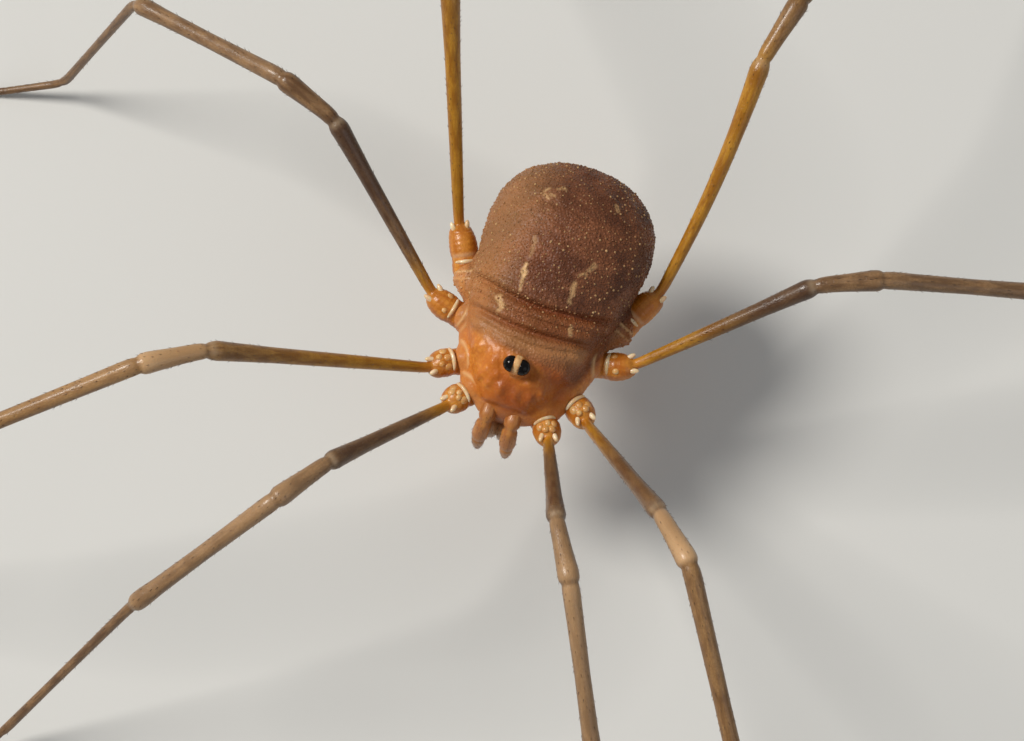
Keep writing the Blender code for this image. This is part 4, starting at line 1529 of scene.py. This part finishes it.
def hip_bumps(leg, pair, rng):
    """The round bumps of one hip."""
    bumps = []
    for share, turn, size in HIND_BUMPS.get(pair, FRONT_BUMPS):
        turn += rng.normal(0.0, 0.05)
        size *= rng.uniform(0.88, 1.12)
        distance = leg["hip"] * (share + rng.normal(0, 0.006))
        centre, radius, (outward, along, across) = leg_frame(leg, distance, turn)
        sunk = centre + outward * (radius - BUMP_SINK)
        bumps.append(knob(sunk, (along, across, outward), (size, size * 0.90, BUMP_HEIGHT)))
    return bumps


def hip_ridges(leg, pair, side):
    """The crescent and the two teeth of one hip; the crescent's cream is partly a painted highlight."""
    distance = leg["hip"] * CRESCENTS.get((pair, side), CRESCENT)
    ridges = [crescent(leg, distance, 0.02 if pair < 3 else 0.0)]
    for turn in (-1.0, 1.0):
        centre, radius, (outward, along, _) = leg_frame(leg, leg["hip"] * TOOTH_PLACE, turn)
        lean = along * np.array([1.0, 1.0, 0.2]) + outward * 0.25
        lean /= np.linalg.norm(lean)
        aside = np.cross(lean, outward)
        aside /= np.linalg.norm(aside)
        root = centre + outward * (radius * 0.92) + along * 0.04
        ridges.append(knob(root, (lean, aside, np.cross(lean, aside)), TOOTH_SIZE))
    return ridges


rng = np.random.default_rng(17)
all_ridges, all_bumps = [], []
for (pair, side), leg in legs.items():
    all_ridges += hip_ridges(leg, pair, side)
    all_bumps += hip_bumps(leg, pair, rng)
settle(add_mesh("hip_ridges_and_teeth", *join_shapes(all_ridges)), CREAM_AND_HIGHLIGHT_FINISH)
settle(add_mesh("hip_bumps", *join_shapes(all_bumps)), BUMP_FINISH)

# %% [markdown]
# Each foot ends in one small curved claw. It starts inside the end of the foot and comes down to
# the floor, and it keeps its own horny finish.

# %% Claws
# Ahead of the foot's tip, above its centre line, and radius (mm)
CLAW_ROWS = (
    (-0.10, 0.000, 0.036), (0.04, 0.018, 0.040), (0.15, 0.020, 0.034),
    (0.24, 0.002, 0.024), (0.30, -0.018, 0.014), (0.325, -0.036, 0.006),
)


def claw_shape(leg):
    """A thin hook that leaves the tip of the foot and touches the floor."""
    centre, along = leg["centres"][-1], leg["along"][-1]
    heading = np.array([along[0], along[1], 0.0])
    heading /= np.linalg.norm(heading)
    path = []
    for ahead, rise, radius in CLAW_ROWS:
        point = centre + heading * ahead + np.array([0.0, 0.0, rise])
        point[2] = max(point[2], radius)
        path.append(point)
    return tapered_tube(path, [row[2] for row in CLAW_ROWS], 8)


claws = add_mesh("foot_claws", *join_shapes([claw_shape(leg) for leg in legs.values()]))
settle(claws, CLAW_FINISH)

# %% [markdown]
# The pedipalps hang in front of the head like two short fingers, and the pincers of the chelicerae
# sit between them. Each is swept as the legs are, with a shallow waist at every joint.

# %% Mouthparts
# Sideways, along, height and radius (mm)
PALP_POINTS = (
    (0.44, -1.55, 6.70, 0.25),
    (0.44, -2.05, 6.78, 0.27),
    (0.45, -2.48, 6.62, 0.27),
    (0.48, -2.76, 6.18, 0.28),
    (0.50, -2.90, 5.62, 0.26),
    (0.50, -2.92, 5.05, 0.25),
    (0.49, -2.86, 4.55, 0.22),
    (0.47, -2.74, 4.25, 0.14),
)
CHELICERA_POINTS = (
    (0.30, -1.30, 6.10, 0.20),
    (0.28, -1.80, 6.12, 0.21),
    (0.28, -2.16, 6.02, 0.21),
    (0.27, -2.34, 5.68, 0.22),
    (0.26, -2.36, 5.25, 0.20),
    (0.25, -2.32, 5.02, 0.15),
)
FINGERS = (
    ((0.31, -2.38, 5.15, 0.085), (0.33, -2.44, 4.98, 0.060), (0.29, -2.40, 4.84, 0.020)),
    ((0.20, -2.30, 5.15, 0.080), (0.18, -2.27, 4.98, 0.055), (0.22, -2.28, 4.84, 0.018)),
)
# Name, centre line, places of the joints, fullness, taper of the outer half, greatest paleness
MOUTHPARTS = (
    ("pedipalp", PALP_POINTS, (0.28, 0.55, 0.74), 1.00, 0.52, 0.0),
    ("chelicera", CHELICERA_POINTS, (0.45,), 1.48, 0.04, 0.45),
)
MOUTH_SIDES = 24
MOUTH_RINGS = 90


def limb_shape(table, joints, side, fullness, taper, paleness):
    """Points, faces and stored numbers of one mouthpart."""
    rows = even_rows(smooth_through(table, 16), MOUTH_RINGS)
    path = rows[:, :3] * np.array([side, 1.0, 1.0])
    share = np.linspace(0.0, 1.0, len(rows))
    radii = rows[:, 3] * fullness * (1 - taper * smoothstep(0.40, 1.0, share))
    for joint in joints:
        radii *= 1 - 0.20 * bell(share, joint, 0.022)
        radii *= 1 + 0.06 * bell(share, joint - 0.07, 0.05)
    radii *= np.sqrt(np.clip(1 - np.clip((share - 0.93) / 0.072, 0.0, 1.0) ** 2, 0.02, 1.0))
    along = np.gradient(path, axis=0)
    along /= np.linalg.norm(along, axis=1)[:, None]
    sideways = np.array([1.0, 0.0, 0.0]) - along * along[:, :1]
    sideways /= np.linalg.norm(sideways, axis=1)[:, None]
    upward = np.cross(sideways, along)
    grid = sweep(path, upward, sideways, all_round(radii, MOUTH_SIDES))
    turned = np.arange(MOUTH_SIDES) / MOUTH_SIDES - 0.5
    flat = np.zeros_like(grid)
    flat[..., 0] = share[:, None] * 4.0
    flat[..., 1] = (np.abs(turned) * 2.0)[None, :]
    unwrap = np.zeros_like(grid)
    unwrap[..., 0] = 0.02 + 0.96 * share[:, None]
    unwrap[..., 1] = (0.5 + 0.24 * side + 0.2 * turned)[None, :]
    tips = all_round(smoothstep(0.45, 1.0, share), MOUTH_SIDES)
    marks = {
        "brown": 0.26 + 0.20 * tips,
        "warm": np.full_like(tips, 0.85),
        # Darker tone, partly its own colour and partly painted shade.
        "dark_and_shade": 0.12 + 0.10 * tips,
        "light": all_round(0.10 + paleness * bell(share, 0.7, 0.4), MOUTH_SIDES),
        "pale": np.zeros_like(tips),
        "grain": all_round(smoothstep(0.1, 0.3, share), MOUTH_SIDES),
        "place_mm": flat,
        "place": unwrap,
        "lie": all_round(along, MOUTH_SIDES),
    }
    marks = {key: with_hubs(value) for key, value in marks.items()}
    return with_hubs(grid), grid_faces(len(rows), MOUTH_SIDES), marks


mouthparts = {}
for name, table, joints, fullness, taper, paleness in MOUTHPARTS:
    for side in (LEFT, RIGHT):
        piece = name + "_" + SIDE_NAMES[side]
        shape = limb_shape(table, joints, side, fullness, taper, paleness)
        mouthparts[piece] = add_mesh(piece + "_skin", *shape)
        print(piece, "skin made")

finger_shapes = []
for side in (LEFT, RIGHT):
    for rows in FINGERS:
        fine = smooth_through(rows, 5)
        path = fine[:, :3] * np.array([side, 1.0, 1.0])
        finger_shapes.append(tapered_tube(path, fine[:, 3], 10))
fingers = add_mesh("chelicera_fingers", *join_shapes(finger_shapes))
settle(fingers, CLAW_FINISH)

# %% [markdown]
# Granules and setae repeat by the thousand, so Geometry Nodes scatter them. One tree does both: it
# spreads points over a skin at least one spacing apart, keeps them where the stored grain says,
# leans a small shape on each between the surface's normal and the lie of the coat, and makes the
# instances real. The stored numbers travel along, so that each granule knows its skin's colour.

# %% Scatter tree


def make_scatter_tree():
    """The Geometry Nodes tree that sets small shapes on a skin."""
    tree = bpy.data.node_groups.new("set_on_skin", "GeometryNodeTree")
    sockets = {}
    for key, kind in (
        ("Skin", "NodeSocketGeometry"), ("Shape", "NodeSocketObject"), ("Finish", "NodeSocketMaterial"),
        ("Spacing", "NodeSocketFloat"), ("Density", "NodeSocketFloat"), ("Smallest", "NodeSocketFloat"),
        ("Largest", "NodeSocketFloat"), ("Lean", "NodeSocketFloat"), ("Seed", "NodeSocketInt"),
    ):
        sockets[key] = tree.interface.new_socket(key, in_out="INPUT", socket_type=kind).identifier
    tree.interface.new_socket("Geometry", in_out="OUTPUT", socket_type="NodeSocketGeometry")
    given, made = tree.nodes.new("NodeGroupInput"), tree.nodes.new("NodeGroupOutput")
    link = tree.links.new

    points = add_node(tree, "GeometryNodeDistributePointsOnFaces", distribute_method="POISSON")
    share = add_node(tree, "GeometryNodeInputNamedAttribute", data_type="FLOAT")
    share.inputs["Name"].default_value = "grain"
    link(given.outputs["Skin"], points.inputs["Mesh"])
    link(given.outputs["Spacing"], points.inputs["Distance Min"])
    link(given.outputs["Density"], points.inputs["Density Max"])
    link(share.outputs["Attribute"], points.inputs["Density Factor"])
    link(given.outputs["Seed"], points.inputs["Seed"])

    lie = add_node(tree, "GeometryNodeInputNamedAttribute", data_type="FLOAT_VECTOR")
    lie.inputs["Name"].default_value = "lie"
    axis = add_node(tree, "ShaderNodeMix", data_type="VECTOR")
    link(given.outputs["Lean"], axis.inputs[0])
    link(points.outputs["Normal"], axis.inputs[4])
    link(lie.outputs["Attribute"], axis.inputs[5])
    aligned = add_node(tree, "FunctionNodeAlignRotationToVector", axis="Z")
    link(axis.outputs[1], aligned.inputs["Vector"])

    size = add_node(tree, "FunctionNodeRandomValue", data_type="FLOAT")
    named = {socket.identifier: socket for socket in size.inputs}
    link(given.outputs["Smallest"], named["Min_001"])
    link(given.outputs["Largest"], named["Max_001"])
    link(given.outputs["Seed"], named["Seed"])
    drawn = {socket.identifier: socket for socket in size.outputs}["Value_001"]

    shape = add_node(tree, "GeometryNodeObjectInfo", transform_space="ORIGINAL")
    link(given.outputs["Shape"], shape.inputs["Object"])
    copies = add_node(tree, "GeometryNodeInstanceOnPoints")
    link(points.outputs["Points"], copies.inputs["Points"])
    link(shape.outputs["Geometry"], copies.inputs["Instance"])
    link(aligned.outputs["Rotation"], copies.inputs["Rotation"])
    link(drawn, copies.inputs["Scale"])
    real = add_node(tree, "GeometryNodeRealizeInstances")
    link(copies.outputs["Instances"], real.inputs["Geometry"])
    finish = add_node(tree, "GeometryNodeSetMaterial")
    link(real.outputs["Geometry"], finish.inputs["Geometry"])
    link(given.outputs["Finish"], finish.inputs["Material"])
    link(finish.outputs["Geometry"], made.inputs["Geometry"])
    return tree, sockets


SCATTER, SCATTER_INPUTS = make_scatter_tree()


def add_shape(name, points, faces):
    """A small shape for scattering, hidden from the render."""
    item = add_mesh(name, points, faces)
    item.hide_render = True
    return item


def scatter(name, skin, shape, material, seed, settings):
    """Bake one scatter on a skin into a plain mesh object in millimetres."""
    carrier = bpy.data.objects.new(name, skin.data)
    bpy.context.scene.collection.objects.link(carrier)
    modifier = carrier.modifiers.new("scatter", "NODES")
    modifier.node_group = SCATTER
    for key, value in {"Shape": shape, "Finish": material, "Seed": seed, **settings}.items():
        modifier[SCATTER_INPUTS[key]] = value
    depsgraph = bpy.context.evaluated_depsgraph_get()
    mesh = bpy.data.meshes.new_from_object(carrier.evaluated_get(depsgraph))
    carrier.modifiers.clear()
    carrier.data = mesh
    where = read_vectors(mesh.vertices, "co")
    where[:, 2] = np.maximum(where[:, 2], 0.0)
    mesh.vertices.foreach_set("co", where.ravel())
    mesh.shade_smooth()
    return carrier


PATCH = 0.003                # width of one shape's patch on the unwrap


def unwrap_patches(item, corners_each):
    """Give every scattered shape a small patch at its root's place on the skin's unwrap."""
    mesh = item.data
    place = read_vectors(mesh.attributes["place"].data, "vector").reshape(-1, corners_each, 3)
    where = read_vectors(mesh.vertices, "co").reshape(-1, corners_each, 3)
    offset = where - where.mean(axis=1, keepdims=True)
    offset /= np.maximum(np.abs(offset).max(axis=(1, 2), keepdims=True), 1e-9)
    flat = (place[:, :1, :2] + offset[:, :, :2] * PATCH / 2).reshape(-1, 2)
    layer = mesh.uv_layers.new(name="OFBake")
    corner = np.zeros(len(mesh.loops), np.int32)
    mesh.loops.foreach_get("vertex_index", corner)
    layer.data.foreach_set("uv", flat[corner].ravel().astype(np.float32))


def dome_shape(sides=5):
    """A low closed dome of unit radius, its root sunk below the skin."""
    rings = ((1.0, -0.25), (0.80, 0.42))
    points = []
    for radius, height in rings:
        for side in range(sides):
            turned = 2 * math.pi * side / sides
            points.append((radius * math.cos(turned), radius * math.sin(turned), height))
    points += [(0.0, 0.0, -0.35), (0.0, 0.0, 0.78)]
    return points, grid_faces(2, sides)


def hair_shape():
    """A thin, closed, slightly curved spike of unit length."""
    path = [(0.0, 0.0, -0.12), (0.03, 0.0, 0.45), (0.10, 0.0, 1.0)]
    return tapered_tube(path, [0.075, 0.055, 0.010], 4)


dome = add_shape("granule_form", *dome_shape())
hair = add_shape("seta_form", *hair_shape())
DOME_POINTS, HAIR_POINTS = len(dome.data.vertices), len(hair.data.vertices)
print("one granule has", DOME_POINTS, "points and one seta", HAIR_POINTS)

# %% [markdown]
# The abdomen carries a dense fine grain. Some grains are larger and paler, and on the largest ones the
# paleness is partly a painted glint. The granules take the trunk's own material and its stored numbers.
# Only the paleness of the two larger kinds is drawn anew.

# %% Granules of the back


def lighten(item, corners_each, most, seed):
    """Give every granule of a piece its own paleness."""
    attribute = item.data.attributes["pale"]
    rng = np.random.default_rng(seed)
    values = most * rng.random(len(attribute.data) // corners_each) ** 1.5
    attribute.data.foreach_set("value", np.repeat(values, corners_each).astype(np.float32))


# Greatest paleness, and the spacing, count on a square mm and radii (mm) of each kind
GRANULES = {
    "fine_granules": (
        0.0, {"Spacing": 0.085, "Density": 150.0, "Smallest": 0.022, "Largest": 0.034, "Lean": 0.0},
    ),
    "coarse_granules": (
        0.50, {"Spacing": 0.150, "Density": 30.0, "Smallest": 0.032, "Largest": 0.054, "Lean": 0.0},
    ),
    # Paleness partly of pale specks, partly painted glints.
    "pale_granules": (
        0.75, {"Spacing": 0.260, "Density": 3.0, "Smallest": 0.034, "Largest": 0.056, "Lean": 0.0},
    ),
}
for number, (name, (paleness, settings)) in enumerate(GRANULES.items()):
    granules = scatter(name, trunk, dome, TRUNK_FINISH, 7 + number, settings)
    if paleness:
        lighten(granules, DOME_POINTS, paleness, 50 + number)
    unwrap_patches(granules, DOME_POINTS)
    settle(granules, TRUNK_FINISH)

# %% [markdown]
# Short dark setae lean along the legs and the palps. They are sparse enough that the gloss of the
# cuticle shows between them.

# %% Setae and the last skins
LEG_SETAE = {"Spacing": 0.16, "Density": 12.0, "Smallest": 0.07, "Largest": 0.13, "Lean": 0.68}
MOUTH_SETAE = {"Spacing": 0.11, "Density": 36.0, "Smallest": 0.06, "Largest": 0.10, "Lean": 0.60}
SEGMENT_NAMES = ("coxa", "femur", "patella", "tibia", "metatarsus", "tarsus")


def add_setae(name, skin, seed, settings):
    """The short bristles of one skin."""
    setae = scatter(name + "_setae", skin, hair, SETA_FINISH, seed, settings)
    unwrap_patches(setae, HAIR_POINTS)
    settle(setae, SETA_FINISH)


for number, ((pair, side), skin) in enumerate(leg_skins.items()):
    name = leg_name(pair, side)
    add_setae(name, skin, 100 + number, LEG_SETAE)
    nodes = [name + "_" + segment for segment in SEGMENT_NAMES]
    settle(skin, LEG_FINISH, nodes)

for number, (name, skin) in enumerate(mouthparts.items()):
    add_setae(name, skin, 200 + number, MOUTH_SETAE)
    settle(skin, LEG_FINISH, [name])

settle(trunk, TRUNK_FINISH, TRUNK_NODES)
for form in (dome, hair):
    bpy.data.objects.remove(form, do_unlink=True)

# %% [markdown]
# The last cell counts the pieces and their triangles.

# %% Count the pieces
print("pieces:", len(pieces), "triangles:", sum(pieces.values()))
